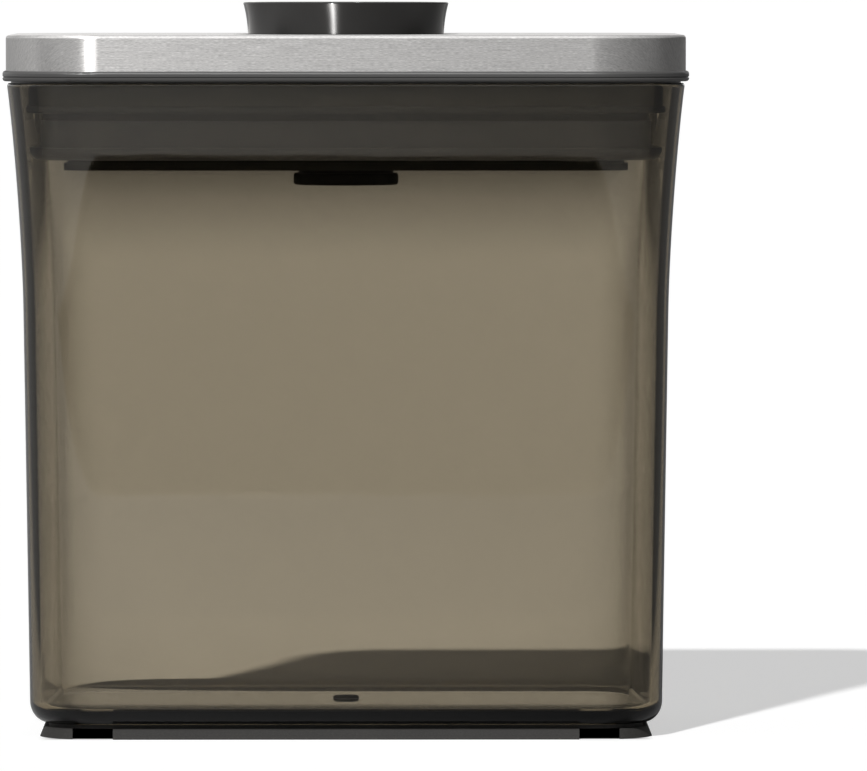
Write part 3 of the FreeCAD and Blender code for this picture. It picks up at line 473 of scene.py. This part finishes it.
def ray_kinds(tree):
    """Whether a ray is the camera's, passed glass, left a polished face, or did either of the last two."""
    path = add(tree, "ShaderNodeLightPath").outputs
    camera, glass = path["Is Camera Ray"], path["Is Transmission Ray"]
    either = math_node(tree, "MAXIMUM", glass, path["Is Glossy Ray"])
    polished = math_node(tree, "SUBTRACT", either, glass)
    return camera, glass, polished, either


def stretched(tree, vector, scale, turned=(0, 0, 0)):
    """A vector scaled along each axis, after a turn."""
    mapping = add(tree, "ShaderNodeMapping")
    put(mapping, Scale=scale, Rotation=turned)
    tree.links.new(vector, mapping.inputs["Vector"])
    return mapping.outputs["Vector"]


def noise(tree, vector, scale, detail=2.0, roughness=0.5):
    """A noise value between 0 and 1."""
    node = add(tree, "ShaderNodeTexNoise")
    put(node, Scale=scale, Detail=detail, Roughness=roughness)
    tree.links.new(vector, node.inputs["Vector"])
    return node.outputs[0]


def spread(tree, value, low, high, start, end):
    """Goes from a low to a high result as a value goes from a start to an end."""
    node = add(tree, "ShaderNodeMapRange")
    put(node, From_Min=start, From_Max=end, To_Min=low, To_Max=high)
    tree.links.new(value, node.inputs["Value"])
    return node.outputs["Result"]


def shaded(tree, colour_socket, value):
    """A colour made lighter or darker by a value around 1."""
    node = add(tree, "ShaderNodeVectorMath", operation="SCALE")
    tree.links.new(colour_socket, node.inputs[0])
    tree.links.new(value, node.inputs["Scale"])
    return node.outputs[0]


def moulded_group():
    """Moulded plastic: slow flow shading, a fine grain and a varying gloss."""
    name = "Moulded Plastic"
    if name in bpy.data.node_groups:
        return bpy.data.node_groups[name]
    tree = new_group(
        name,
        (
            ("Vector", "NodeSocketVector", None),
            ("Colour", "NodeSocketColor", (0.1, 0.1, 0.1, 1.0)),
            ("Grain", "NodeSocketFloat", 6000.0),
            ("Contrast", "NodeSocketFloat", 0.1),
            ("Gloss", "NodeSocketFloat", 0.35),
        ),
        (("Colour", "NodeSocketColor"), ("Roughness", "NodeSocketFloat"), ("Height", "NodeSocketFloat")),
    )
    inputs = add(tree, "NodeGroupInput")
    outputs = add(tree, "NodeGroupOutput")
    flow = noise(tree, inputs.outputs["Vector"], FLOW_SCALE, FLOW_DETAIL)
    grain_node = add(tree, "ShaderNodeTexNoise")
    put(grain_node, Detail=GRAIN_DETAIL, Roughness=GRAIN_ROUGHNESS)
    tree.links.new(inputs.outputs["Vector"], grain_node.inputs["Vector"])
    tree.links.new(inputs.outputs["Grain"], grain_node.inputs["Scale"])
    grain = grain_node.outputs[0]
    mixed = math_node(tree, "ADD", times(tree, flow, FLOW_SHARE), times(tree, grain, 1 - FLOW_SHARE))
    centred = math_node(tree, "SUBTRACT", mixed, NOISE_MIDDLE)
    change = times(tree, centred, inputs.outputs["Contrast"])
    light = math_node(tree, "ADD", times(tree, change, GRAIN_TONE), 1.0)
    tree.links.new(shaded(tree, inputs.outputs["Colour"], light), outputs.inputs["Colour"])
    gloss = math_node(tree, "ADD", inputs.outputs["Gloss"], change)
    tree.links.new(gloss, outputs.inputs["Roughness"])
    tree.links.new(grain, outputs.inputs["Height"])
    return tree


def brushed_group():
    """Brushed metal: long fine lines along the vector's first axis."""
    name = "Brushed Metal"
    if name in bpy.data.node_groups:
        return bpy.data.node_groups[name]
    tree = new_group(
        name,
        (
            ("Vector", "NodeSocketVector", None),
            ("Colour", "NodeSocketColor", (0.5, 0.5, 0.5, 1.0)),
            ("Contrast", "NodeSocketFloat", 0.2),
            ("Gloss", "NodeSocketFloat", 0.3),
        ),
        (("Colour", "NodeSocketColor"), ("Roughness", "NodeSocketFloat"), ("Height", "NodeSocketFloat")),
    )
    inputs = add(tree, "NodeGroupInput")
    outputs = add(tree, "NodeGroupOutput")
    vector = inputs.outputs["Vector"]
    fine = noise(tree, stretched(tree, vector, FINE_LINES), 1.0, LINE_DETAIL, LINE_ROUGHNESS)
    broad = noise(tree, stretched(tree, vector, BROAD_LINES), 1.0, LINE_DETAIL, LINE_ROUGHNESS)
    lines = math_node(tree, "ADD", times(tree, fine, FINE_SHARE), times(tree, broad, 1 - FINE_SHARE))
    centred = math_node(tree, "SUBTRACT", lines, NOISE_MIDDLE)
    change = times(tree, centred, inputs.outputs["Contrast"])
    light = math_node(tree, "ADD", times(tree, change, LINE_TONE), 1.0)
    tree.links.new(shaded(tree, inputs.outputs["Colour"], light), outputs.inputs["Colour"])
    gloss = math_node(tree, "ADD", inputs.outputs["Gloss"], times(tree, change, LINE_GLOSS))
    tree.links.new(gloss, outputs.inputs["Roughness"])
    tree.links.new(lines, outputs.inputs["Height"])
    return tree


def new_material(name):
    """A material with its shader and the object's own coordinates."""
    material = bpy.data.materials.new(name)
    material.use_nodes = True
    tree = material.node_tree
    tree.nodes.clear()
    output = add(tree, "ShaderNodeOutputMaterial")
    shader = add(tree, "ShaderNodeBsdfPrincipled")
    tree.links.new(shader.outputs["BSDF"], output.inputs["Surface"])
    place = add(tree, "ShaderNodeTexCoord").outputs["Object"]
    return material, tree, shader, output, place


def bump(tree, shader, height, depth):
    """Lets a height stand out of the surface, at a depth in metres."""
    node = add(tree, "ShaderNodeBump")
    put(node, Strength=1.0, Distance=depth)
    tree.links.new(height, node.inputs["Height"])
    tree.links.new(node.outputs["Normal"], shader.inputs["Normal"])


def use_group(tree, shader, group, vector, tone, **values):
    """Places a finish group in a material and links what it puts out."""
    node = add(tree, "ShaderNodeGroup", node_tree=group)
    put(node, Colour=(*tone, 1.0), **values)
    tree.links.new(vector, node.inputs["Vector"])
    tree.links.new(node.outputs["Colour"], shader.inputs["Base Color"])
    tree.links.new(node.outputs["Roughness"], shader.inputs["Roughness"])
    return node


def plastic(name, tone, gloss, grain=6000.0, contrast=0.1, depth=0.00001, shine=0.5):
    """Moulded plastic in one colour."""
    if name in bpy.data.materials:
        return bpy.data.materials[name]
    material, tree, shader, _, place = new_material(name)
    node = use_group(tree, shader, moulded_group(), place, tone, Grain=grain, Contrast=contrast, Gloss=gloss)
    put(shader, Specular_IOR_Level=shine)
    bump(tree, shader, node.outputs["Height"], depth)
    return material


def metal(name, tone, gloss, turned=(0, 0, 0), uv_map=None, contrast=0.2, depth=0.000004, anisotropy=0.0):
    """Metal with lines along X, or along the first axis of a piece's own map."""
    if name in bpy.data.materials:
        return bpy.data.materials[name]
    material, tree, shader, _, place = new_material(name)
    vector = stretched(tree, place, (1, 1, 1), turned)
    if uv_map:
        vector = add(tree, "ShaderNodeUVMap", uv_map=uv_map).outputs["UV"]
        tangent = add(tree, "ShaderNodeTangent", direction_type="UV_MAP", uv_map=uv_map)
        tree.links.new(tangent.outputs["Tangent"], shader.inputs["Tangent"])
    put(shader, Metallic=1.0, Anisotropic=anisotropy, Anisotropic_Rotation=LINE_TURN if anisotropy else 0.0)
    node = use_group(tree, shader, brushed_group(), vector, tone, Contrast=contrast, Gloss=gloss)
    bump(tree, shader, node.outputs["Height"], depth)
    return material


def gate_mark(tree, place):
    """1 on the rough moulding mark in the middle of the jar's floor, 0 elsewhere."""
    sizes = bpy.context.scene.jar_sizes
    radius = sizes.gate_radius
    floor = JAR_LOW.z + sizes.floor
    top = floor + sizes.gate_height
    height = axes(tree, place)["Z"]
    above = spread(tree, height, 0.0, 1.0, floor, floor + sizes.gate_height * MARK_START_SHARE)
    below = spread(tree, height, 1.0, 0.0, top, top + sizes.gate_height)
    distance = add(tree, "ShaderNodeVectorMath", operation="LENGTH")
    tree.links.new(stretched(tree, place, (1, 1, 0)), distance.inputs[0])
    near_axis = spread(tree, distance.outputs["Value"], 1.0, 0.0, radius, radius * MARK_END_SHARE)
    return times(tree, above, below, near_axis)


def tinted_clear():
    """Clear plastic with a smoke tint that deepens with its thickness, and shade painted near black onto the
    moulding mark.
    """
    finishes = bpy.context.scene.jar_finishes
    material, tree, shader, output, place = new_material("tinted clear plastic")
    put(shader, Transmission_Weight=1.0, IOR=CLEAR_IOR)
    mark = gate_mark(tree, place)
    # Painted shade: the moulding mark is coloured near black; only its roughness is the mark's own.
    tree.links.new(spread(tree, mark, 1.0, MARK_PAINTED_SHADE, 0.0, 1.0), shader.inputs["Base Color"])
    ripple = noise(tree, place, RIPPLE_SCALE, RIPPLE_DETAIL)
    haze = spread(tree, noise(tree, place, HAZE_SCALE, HAZE_DETAIL), 0.0, HAZE_GLOSS, HAZE_START, HAZE_END)
    tree.links.new(math_node(tree, "MAXIMUM", haze, mark), shader.inputs["Roughness"])
    bump(tree, shader, ripple, RIPPLE_DEPTH)
    tint = add(tree, "ShaderNodeVolumeAbsorption")
    put(tint, Color=(*finishes.tint, 1.0), Density=finishes.tint_density)
    tree.links.new(tint.outputs["Volume"], output.inputs["Volume"])
    return material


# Jar

def flare_knee(s, base, rim):
    """Where the straight wall's line meets the flared rim's line, and the arms of the arc between them."""
    waist = Vector((s.waist_corner, rim - s.flare))
    wall = (waist - Vector((s.base_corner, base))).normalized()
    rise = Vector((s.rim_corner, rim)) - waist
    arm = rise.dot(rise) / (2 * wall.dot(rise))
    return waist + wall * arm, arm * RIM_ARM_SHARE


class JAR_OT_body(bpy.types.Operator):
    """Models the tinted jar with its flared mouth and thick floor"""

    bl_idname = "storage_jar.body"
    bl_label = "Jar Body"

    def execute(self, context):
        s = context.scene.jar_sizes
        base, rim = JAR_LOW.z, JAR_HIGH.z
        floor = base + s.floor
        groove_inner = s.groove_corner - s.groove_width
        plate = groove_inner - s.groove_depth
        knee, knee_arm = flare_knee(s, base, rim)
        bm = bmesh.new()
        sweep(bm, [
            (plate, base),
            (groove_inner, base),
            (groove_inner, base + s.groove_depth),
            (s.groove_corner, base + s.groove_depth),
            (s.groove_corner, base),
            (s.base_corner, base, s.base_round, FLARE_STEPS),
            (*knee, knee_arm, FLARE_STEPS),
            (s.rim_corner, rim, s.rim_round),
            (s.rim_corner - s.wall, rim, s.rim_round),
            (knee[0] - s.wall, knee[1], knee_arm, FLARE_STEPS),
            (s.base_corner - s.wall, floor, s.floor_round, FLARE_STEPS),
            (plate, floor),
        ])
        fill_level(bm, base)
        turn(bm, [
            (0, floor + s.gate_height),
            (s.gate_radius, floor + s.gate_height, s.gate_round),
            (s.gate_radius, floor),
        ])
        bridge_level(bm, floor)
        new_piece(bm, "tinted_jar", tinted_clear(), "jar", "jar_body")
        return {"FINISHED"}


class JAR_OT_foot(bpy.types.Operator):
    """Models the grained foot ring with its notches"""

    bl_idname = "storage_jar.foot"
    bl_label = "Foot Ring"

    def execute(self, context):
        s = context.scene.jar_sizes
        inner = s.foot_corner - s.foot_width
        bm = bmesh.new()
        sweep(bm, [
            (inner, 0.0),
            (s.foot_corner, 0.0),
            (s.foot_corner - s.foot_slant, s.foot_height, s.foot_edge),
            (inner, s.foot_height),
        ], closed=True)
        self.cut_notches(bm, s)
        rib = bmesh.new()
        spigot_inner = s.spigot_corner - s.spigot_width
        sweep(rib, [
            (spigot_inner, s.foot_height),
            (s.spigot_corner, s.foot_height),
            (s.spigot_corner, FOOT_HIGH.z),
            (spigot_inner, FOOT_HIGH.z),
        ], closed=True)
        add_mesh(bm, rib)
        tone = context.scene.jar_finishes.foot
        material = plastic(
            "grained foot plastic", tone, gloss=0.75, grain=2600.0, contrast=0.5, depth=0.00006, shine=0.2
        )
        new_piece(bm, "grained_foot", material, "jar", "foot_ring")
        return {"FINISHED"}

    def cut_notches(self, bm, s):
        """Cuts the foot through at both notches, front and back, and closes the ends."""
        for side in (-1, 1):
            for end in (-1, 1):
                x = side * s.notch_place + end * s.notch_width / 2
                bmesh.ops.bisect_plane(
                    bm, geom=[*bm.verts, *bm.edges, *bm.faces], plane_co=(x, 0, 0), plane_no=(1, 0, 0)
                )
        half = s.notch_width / 2
        inside = [face for face in bm.faces if abs(abs(face.calc_center_median().x) - s.notch_place) < half]
        bmesh.ops.delete(bm, geom=inside, context="FACES")
        bmesh.ops.holes_fill(bm, edges=[edge for edge in bm.edges if edge.is_boundary], sides=0)


# Lid

class JAR_OT_cover(bpy.types.Operator):
    """Models the brushed steel cover with its rolled edge and the button's hole"""

    bl_idname = "storage_jar.cover"
    bl_label = "Steel Cover"

    def execute(self, context):
        s = context.scene.lid_sizes
        base, top = COVER_LOW.z, COVER_HIGH.z
        under = top - s.cover_sheet
        inner = s.cover_corner - s.cover_sheet
        plate = inner - s.cover_round
        bm = bmesh.new()
        sweep(bm, [
            (plate, top),
            (s.cover_corner, top, s.cover_round),
            (s.cover_corner, base),
            (inner, base),
            (inner, under),
            (plate, under),
        ])
        edge = s.hole_radius + s.hole_round
        turn(bm, [
            (edge, top),
            (s.hole_radius, top, s.hole_round * HALF_ROUND_SHARE),
            (s.hole_radius, under),
            (edge, under),
        ])
        bridge_level(bm, top)
        bridge_level(bm, under)
        tone = context.scene.jar_finishes.steel
        material = metal(
            "brushed steel sheet", tone, gloss=0.32, uv_map="sheet", contrast=0.6, depth=0.000001,
            anisotropy=0.9,
        )
        piece = new_piece(bm, "brushed_cover", material, "lid", "steel_cover")
        self.map_sheet(piece.data, top)
        return {"FINISHED"}

    def map_sheet(self, mesh, top):
        """Unfolds the drawn sheet, so that its brushing runs over the edges as it did before drawing."""
        core_x, core_y = core()
        layer = mesh.uv_layers.new(name="sheet")
        for loop in mesh.loops:
            place = mesh.vertices[loop.vertex_index].co
            axis = Vector((max(-core_x, min(core_x, place.x)), max(-core_y, min(core_y, place.y))))
            outward = place.xy - axis
            drop = outward.normalized() * (top - place.z) if outward.length else outward
            layer.data[loop.index].uv = place.xy + drop


class JAR_OT_seal(bpy.types.Operator):
    """Models the silicone seal, which flattens as the button goes down"""

    bl_idname = "storage_jar.seal"
    bl_label = "Seal"

    def execute(self, context):
        s = context.scene.lid_sizes
        base, top = SEAL_LOW.z, SEAL_HIGH.z
        lip = SEAL_HIGH.x - core()[0]
        lip_base = top - s.lip_height
        inner = s.neck_corner - s.neck_wall
        bm = bmesh.new()
        sweep(bm, [
            (inner, top),
            (inner, base),
            (s.neck_corner, base),
            (s.neck_corner, lip_base, s.lip_round * HALF_ROUND_SHARE),
            (lip, lip_base, s.lip_round),
            (lip, top, s.lip_round),
        ], closed=True)
        tone = context.scene.jar_finishes.seal
        material = plastic("silicone", tone, gloss=0.6, grain=1500.0, contrast=0.08)
        piece = new_piece(bm, "silicone_seal", material, "lid", "gasket")
        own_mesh(piece)
        return {"FINISHED"}


class JAR_OT_hub(bpy.types.Operator):
    """Models the flanged hub under the lid"""

    bl_idname = "storage_jar.hub"
    bl_label = "Accessory Hub"

    def execute(self, context):
        s = context.scene.button_sizes
        base, end = HUB_LOW.z, HUB_HIGH.z
        flange_top = base + s.hub_flange
        neck_top = flange_top + s.hub_neck_height
        groove_top = end - s.hub_end
        groove_base = groove_top - s.hub_groove_height
        groove = s.hub_spigot - s.hub_groove
        bm = bmesh.new()
        turn(bm, [
            (0, base),
            (HUB_HIGH.x, base, s.hub_round),
            (HUB_HIGH.x, flange_top, s.hub_round),
            (s.hub_neck, flange_top),
            (s.hub_neck, neck_top),
            (s.hub_spigot, neck_top),
            (s.hub_spigot, groove_base),
            (groove, groove_base),
            (groove, groove_top),
            (s.hub_spigot, groove_top),
            (s.hub_spigot, end),
            (0, end),
        ])
        tone = context.scene.jar_finishes.hub
        material = plastic("black hub plastic", tone, gloss=0.6, shine=0.1)
        new_piece(bm, "flanged_hub", material, "seal_plate", "accessory_hub")
        return {"FINISHED"}


# Button

class JAR_OT_button(bpy.types.Operator):
    """Models the polished flared button and the brushed inlay in its top"""

    bl_idname = "storage_jar.button"
    bl_label = "Button"

    def execute(self, context):
        s = context.scene.button_sizes
        finishes = context.scene.jar_finishes
        self.make_knob(s, finishes)
        self.make_inlay(s, finishes)
        return {"FINISHED"}

    def make_knob(self, s, finishes):
        """The button's shell, concave outside and hollow below, with its screw bosses."""
        base, top, radius = KNOB_LOW.z, KNOB_HIGH.z, KNOB_HIGH.x
        waist = radius - s.flare
        lid = COVER_HIGH.z
        roof = top - s.top
        recess = DISC_HIGH.x + s.inlay_gap
        rise = Vector((s.flare, top - s.edge - lid))
        arm = rise.dot(rise) / (2 * rise.y)
        bm = bmesh.new()
        turn(bm, [
            (0, roof),
            (waist - s.wall, roof),
            (waist - s.wall, base),
            (waist, base),
            (waist, lid + arm, arm, FLARE_STEPS),
            (radius, top, s.edge),
            (recess, top, s.edge * RECESS_EDGE_SHARE),
            (recess, DISC_LOW.z),
            (0, DISC_LOW.z),
        ])
        for number in range(BOSSES):
            angle = number * 2 * math.pi / BOSSES
            x, y = s.boss_place * math.cos(angle), s.boss_place * math.sin(angle)
            turn(bm, [
                (s.boss_bore, base),
                (s.boss_radius, base),
                (s.boss_radius, roof),
                (s.boss_bore, roof),
            ], closed=True, x=x, y=y, steps=BOSS_STEPS)
        material = plastic(
            "polished button plastic", finishes.button, gloss=0.1, grain=9000.0, contrast=0.03,
            depth=0.0000005,
        )
        new_piece(bm, "flared_knob", material, "button", "button_knob")

    def make_inlay(self, s, finishes):
        """The thin disc in the button's top."""
        bm = bmesh.new()
        turn(bm, [
            (0, DISC_LOW.z),
            (DISC_HIGH.x, DISC_LOW.z),
            (DISC_HIGH.x, DISC_HIGH.z, s.inlay_round),
            (0, DISC_HIGH.z),
        ])
        material = metal("brushed steel inlay", finishes.steel, gloss=0.3)
        new_piece(bm, "button_inlay", material, "button", "button_disc")


class JAR_OT_spring(bpy.types.Operator):
    """Models the return spring, which shortens as the button goes down"""

    bl_idname = "storage_jar.spring"
    bl_label = "Return Spring"

    def execute(self, context):
        s = context.scene.button_sizes
        low, high = SPRING_LOW.z + s.spring_wire, SPRING_HIGH.z - s.spring_wire
        radius = SPRING_HIGH.x - s.spring_wire
        steps = round(s.spring_turns * TURN_STEPS / 2)
        bm = bmesh.new()
        circle = bmesh.ops.create_circle(bm, cap_ends=False, segments=WIRE_STEPS, radius=s.spring_wire)
        section = circle["verts"]
        bmesh.ops.rotate(bm, verts=section, cent=(0, 0, 0), matrix=Matrix.Rotation(math.pi / 2, 3, "X"))
        bmesh.ops.translate(bm, verts=section, vec=(radius, 0, low))
        carry(
            bm, [*bm.verts, *bm.edges], (0, 0, 0), angle=s.spring_turns * 2 * math.pi,
            run=(0, 0, (high - low) / steps), steps=steps,
        )
        bmesh.ops.holes_fill(bm, edges=[edge for edge in bm.edges if edge.is_boundary], sides=0)
        tone = context.scene.jar_finishes.wire
        material = metal("drawn spring wire", tone, gloss=0.25)
        piece = new_piece(bm, "coil_spring", material, "seal_plate", "return_spring")
        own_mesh(piece)
        return {"FINISHED"}


# Inner pieces that keep their CAD shape

class JAR_OT_inner_finishes(bpy.types.Operator):
    """Gives the frames, levers, wires and screws their materials"""

    bl_idname = "storage_jar.inner_finishes"
    bl_label = "Inner Finishes"

    def execute(self, context):
        finishes = context.scene.jar_finishes
        upright = (0, math.pi / 2, 0)
        across = (0, 0, math.pi / 2)
        satin = {"grain": 7000.0, "contrast": 0.06}
        frame_plastic = plastic("grey lid plastic", finishes.frame, gloss=0.38, **satin)
        plug_plastic = plastic("grey plug plastic", finishes.plug, gloss=0.4, **satin)
        plate_plastic = plastic("dark plate plastic", finishes.foot, gloss=0.6, shine=0.1, **satin)
        guide_plastic = plastic("natural grey plastic", finishes.mechanism, gloss=0.45, grain=3000.0)
        lever_plastic = plastic("slick lever plastic", finishes.lever, gloss=0.4, grain=3000.0, contrast=0.05)
        screw_metal = metal("plated screw steel", finishes.wire, gloss=0.3, turned=upright)
        pin_metal = metal("ground pin steel", finishes.wire, gloss=0.2, turned=across)
        chosen = {
            "lid_frame": frame_plastic,
            "lower_frame": plug_plastic,
            "lower_cover": plate_plastic,
            "button_plunger": guide_plastic,
            "button_guide": guide_plastic,
            "rocker_left": lever_plastic,
            "rocker_right": lever_plastic,
            "cover_screws": screw_metal,
            "guide_screws": screw_metal,
            "knob_screws": screw_metal,
            "hub_ring": screw_metal,
            "rocker_pins": pin_metal,
            "latch_wire": pin_metal,
        }
        for node, material in chosen.items():
            frame["nodes"][node].material_slots[0].material = material
        return {"FINISHED"}


# Stage

class JAR_OT_stage(bpy.types.Operator):
    """Makes the camera, the key lamp, the white surround and the floor"""

    bl_idname = "storage_jar.stage"
    bl_label = "Stage"

    def execute(self, context):
        s = context.scene.stage_settings
        context.scene.view_settings.view_transform = "Standard"
        self.make_camera(context, s)
        self.make_floor(context, s)
        self.make_surround(context, s)
        self.make_lamp(context, s)
        return {"FINISHED"}

    def make_camera(self, context, s):
        """The camera, with its lens and aim."""
        camera = bpy.data.objects.new("camera", bpy.data.cameras.new("camera"))
        camera.data.lens = s.lens
        camera.data.sensor_width = SENSOR_WIDTH
        camera.location = s.eye
        camera.rotation_euler = (Vector(s.aim) - Vector(s.eye)).to_track_quat("-Z", "Y").to_euler()
        context.scene.collection.objects.link(camera)
        context.scene.camera = camera

    def make_floor(self, context, s):
        """The wide floor, which ends before the jar."""
        bm = bmesh.new()
        corners = bmesh.ops.create_grid(bm, x_segments=1, y_segments=1, size=s.floor_half)["verts"]
        bmesh.ops.translate(bm, verts=corners, vec=(0, s.floor_half - s.floor_front, 0))
        mesh = bpy.data.meshes.new("floor")
        bm.to_mesh(mesh)
        bm.free()
        mesh.materials.append(self.floor_material(s))
        floor = bpy.data.objects.new("floor", mesh)
        context.scene.collection.objects.link(floor)

    def floor_material(self, s):
        """White floor that takes shadows, lifted to white where it is seen as background, with a shadow
        painted black on it under the foot.
        """
        material, tree, shader, output, place = new_material("white floor")
        put(shader, Roughness=1.0, Specular_IOR_Level=0.0)
        camera, glass, polished, either = ray_kinds(tree)
        side, depth, _ = axes(tree, place)
        back = spread(tree, depth, 1.0, s.sweep_end, s.sweep_back, s.sweep_back + s.sweep_fade)
        before_end = spread(tree, depth, 1.0, 0.0, s.dip_end, s.dip_clear)
        dip = times(tree, spread(tree, depth, 0.0, s.dip, s.dip_start, s.dip_full), before_end)
        cards = self.between_cards(tree, side, depth, s.card_reach, 1.0, s)
        through = times(tree, glass, times(tree, back, less(tree, dip), cards, s.glass_tone))
        across = spread(tree, side, s.mirror_left, s.mirror_right, -s.mirror_half, s.mirror_half)
        near = spread(tree, depth, 1.0, s.mirror_near, -s.mirror_start, -s.mirror_end)
        shown = math_node(tree, "ADD", through, times(tree, polished, times(tree, across, near)))
        plain = times(tree, less(tree, either), s.floor_tone)
        # Painted shadow: under the foot the floor is coloured black and gets no lift, whatever the lamps do.
        clear = self.clear_of_foot(tree, side, depth)
        open_floor = times(tree, math_node(tree, "ADD", shown, plain), clear)
        tree.links.new(open_floor, shader.inputs["Base Color"])
        lift = add(tree, "ShaderNodeEmission")
        tree.links.new(times(tree, camera, clear, s.floor_lift), lift.inputs["Strength"])
        both = add(tree, "ShaderNodeAddShader")
        tree.links.new(shader.outputs["BSDF"], both.inputs[0])
        tree.links.new(lift.outputs["Emission"], both.inputs[1])
        tree.links.new(both.outputs["Shader"], output.inputs["Surface"])
        return material

    def clear_of_foot(self, tree, side, depth):
        """0 where a shadow is painted black onto the floor under the foot, 1 outside it."""
        edges = []
        for place, reach in ((side, FOOT_HIGH.x), (depth, FOOT_HIGH.y)):
            away = math_node(tree, "ABSOLUTE", place, 0.0)
            edges.append(spread(tree, away, 0.0, 1.0, reach * FOOT_SHADOW_FADE_SHARE, reach))
        return math_node(tree, "MAXIMUM", *edges)

    def between_cards(self, tree, side, depth, reach, front, s):
        """Light behind the jar, less to its sides and dark at the cards, and the light in front of it."""
        away = math_node(tree, "MAXIMUM", math_node(tree, "ADD", depth, reach), LEAST_DEPTH)
        slope = math_node(tree, "DIVIDE", math_node(tree, "ABSOLUTE", side, 0.0), away)
        middle = spread(tree, slope, 1.0, s.side_tone, s.side_near, s.side_far)
        cards = spread(tree, slope, 1.0, s.card_tone, s.card_near, s.card_full)
        ahead = math_node(tree, "GREATER_THAN", depth, 0.0)
        facing = times(tree, less(tree, ahead), front)
        return math_node(tree, "ADD", times(tree, middle, cards, ahead), facing)

    def make_surround(self, context, s):
        """White behind and above for the camera, metal and glass, dark cards in front and at the right."""
        world = bpy.data.worlds.new("surround")
        world.use_nodes = True
        tree = world.node_tree
        tree.nodes.clear()
        output = add(tree, "ShaderNodeOutputWorld")
        light = add(tree, "ShaderNodeBackground")
        put(light, Color=(1, 1, 1, 1))
        tree.links.new(light.outputs["Background"], output.inputs["Surface"])
        camera, glass, polished, either = ray_kinds(tree)
        side, depth, rise = axes(tree, add(tree, "ShaderNodeTexCoord").outputs["Generated"])
        across = spread(tree, side, s.sky_left, s.sky_right, s.sky_from, s.sky_to)
        sky = times(tree, across, spread(tree, depth, 1.0, s.sky_back, 0.0, s.sky_back_full))
        behind = spread(tree, depth, 0.0, 1.0, s.wall_start, s.wall_full)
        wall = times(tree, behind, spread(tree, side, 1.0, 0.0, s.wall_end, s.wall_dark))
        above = spread(tree, rise, 0.0, 1.0, s.sky_low, s.sky_full)
        around = math_node(tree, "ADD", times(tree, above, sky), times(tree, less(tree, above), wall))
        cards = self.between_cards(tree, side, depth, 0.0, s.front_tone, s)
        shown = math_node(tree, "ADD", times(tree, polished, around), times(tree, glass, cards))
        seen = math_node(tree, "MAXIMUM", camera, either)
        rest = times(tree, less(tree, seen), s.ambient)
        total = math_node(tree, "ADD", math_node(tree, "ADD", shown, camera), rest)
        tree.links.new(total, light.inputs["Strength"])
        context.scene.world = world

    def make_lamp(self, context, s):
        """The key lamp, at the left of the front."""
        data = bpy.data.lights.new("key", "SUN")
        data.energy = s.key_strength
        data.angle = s.key_width
        lamp = bpy.data.objects.new("key", data)
        lamp.rotation_euler = (math.pi / 2 - s.key_rise, 0, -s.key_turn)
        context.scene.collection.objects.link(lamp)


class JAR_PT_panel(bpy.types.Panel):
    """Lists the steps that build the storage jar"""

    bl_idname = "JAR_PT_panel"
    bl_label = "Storage Jar"
    bl_space_type = "VIEW_3D"
    bl_region_type = "UI"
    bl_category = "Jar"

    def draw(self, context):
        for step in STEPS:
            self.layout.operator(step.bl_idname)
        for name in GROUPS:
            group = getattr(context.scene, name)
            for prop in group.bl_rna.properties:
                if prop.identifier in group.__annotations__:
                    self.layout.prop(group, prop.identifier)


GROUPS = {
    "jar_sizes": JarSizes,
    "lid_sizes": LidSizes,
    "button_sizes": ButtonSizes,
    "jar_finishes": Finishes,
    "stage_settings": StageSettings,
}
STEPS = (
    JAR_OT_stage,
    JAR_OT_body,
    JAR_OT_foot,
    JAR_OT_cover,
    JAR_OT_seal,
    JAR_OT_hub,
    JAR_OT_button,
    JAR_OT_spring,
    JAR_OT_inner_finishes,
)


def register():
    for item in (*GROUPS.values(), *STEPS, JAR_PT_panel):
        bpy.utils.register_class(item)
    for name, group in GROUPS.items():
        setattr(bpy.types.Scene, name, PointerProperty(type=group))


def unregister():
    for name in GROUPS:
        delattr(bpy.types.Scene, name)
    for item in (JAR_PT_panel, *reversed(STEPS), *GROUPS.values()):
        bpy.utils.unregister_class(item)


def main():
    register()
    bpy.ops.storage_jar.stage()
    bpy.ops.storage_jar.body()
    bpy.ops.storage_jar.foot()
    bpy.ops.storage_jar.cover()
    bpy.ops.storage_jar.seal()
    bpy.ops.storage_jar.hub()
    bpy.ops.storage_jar.button()
    bpy.ops.storage_jar.spring()
    bpy.ops.storage_jar.inner_finishes()


if __name__ == "__main__":
    main()
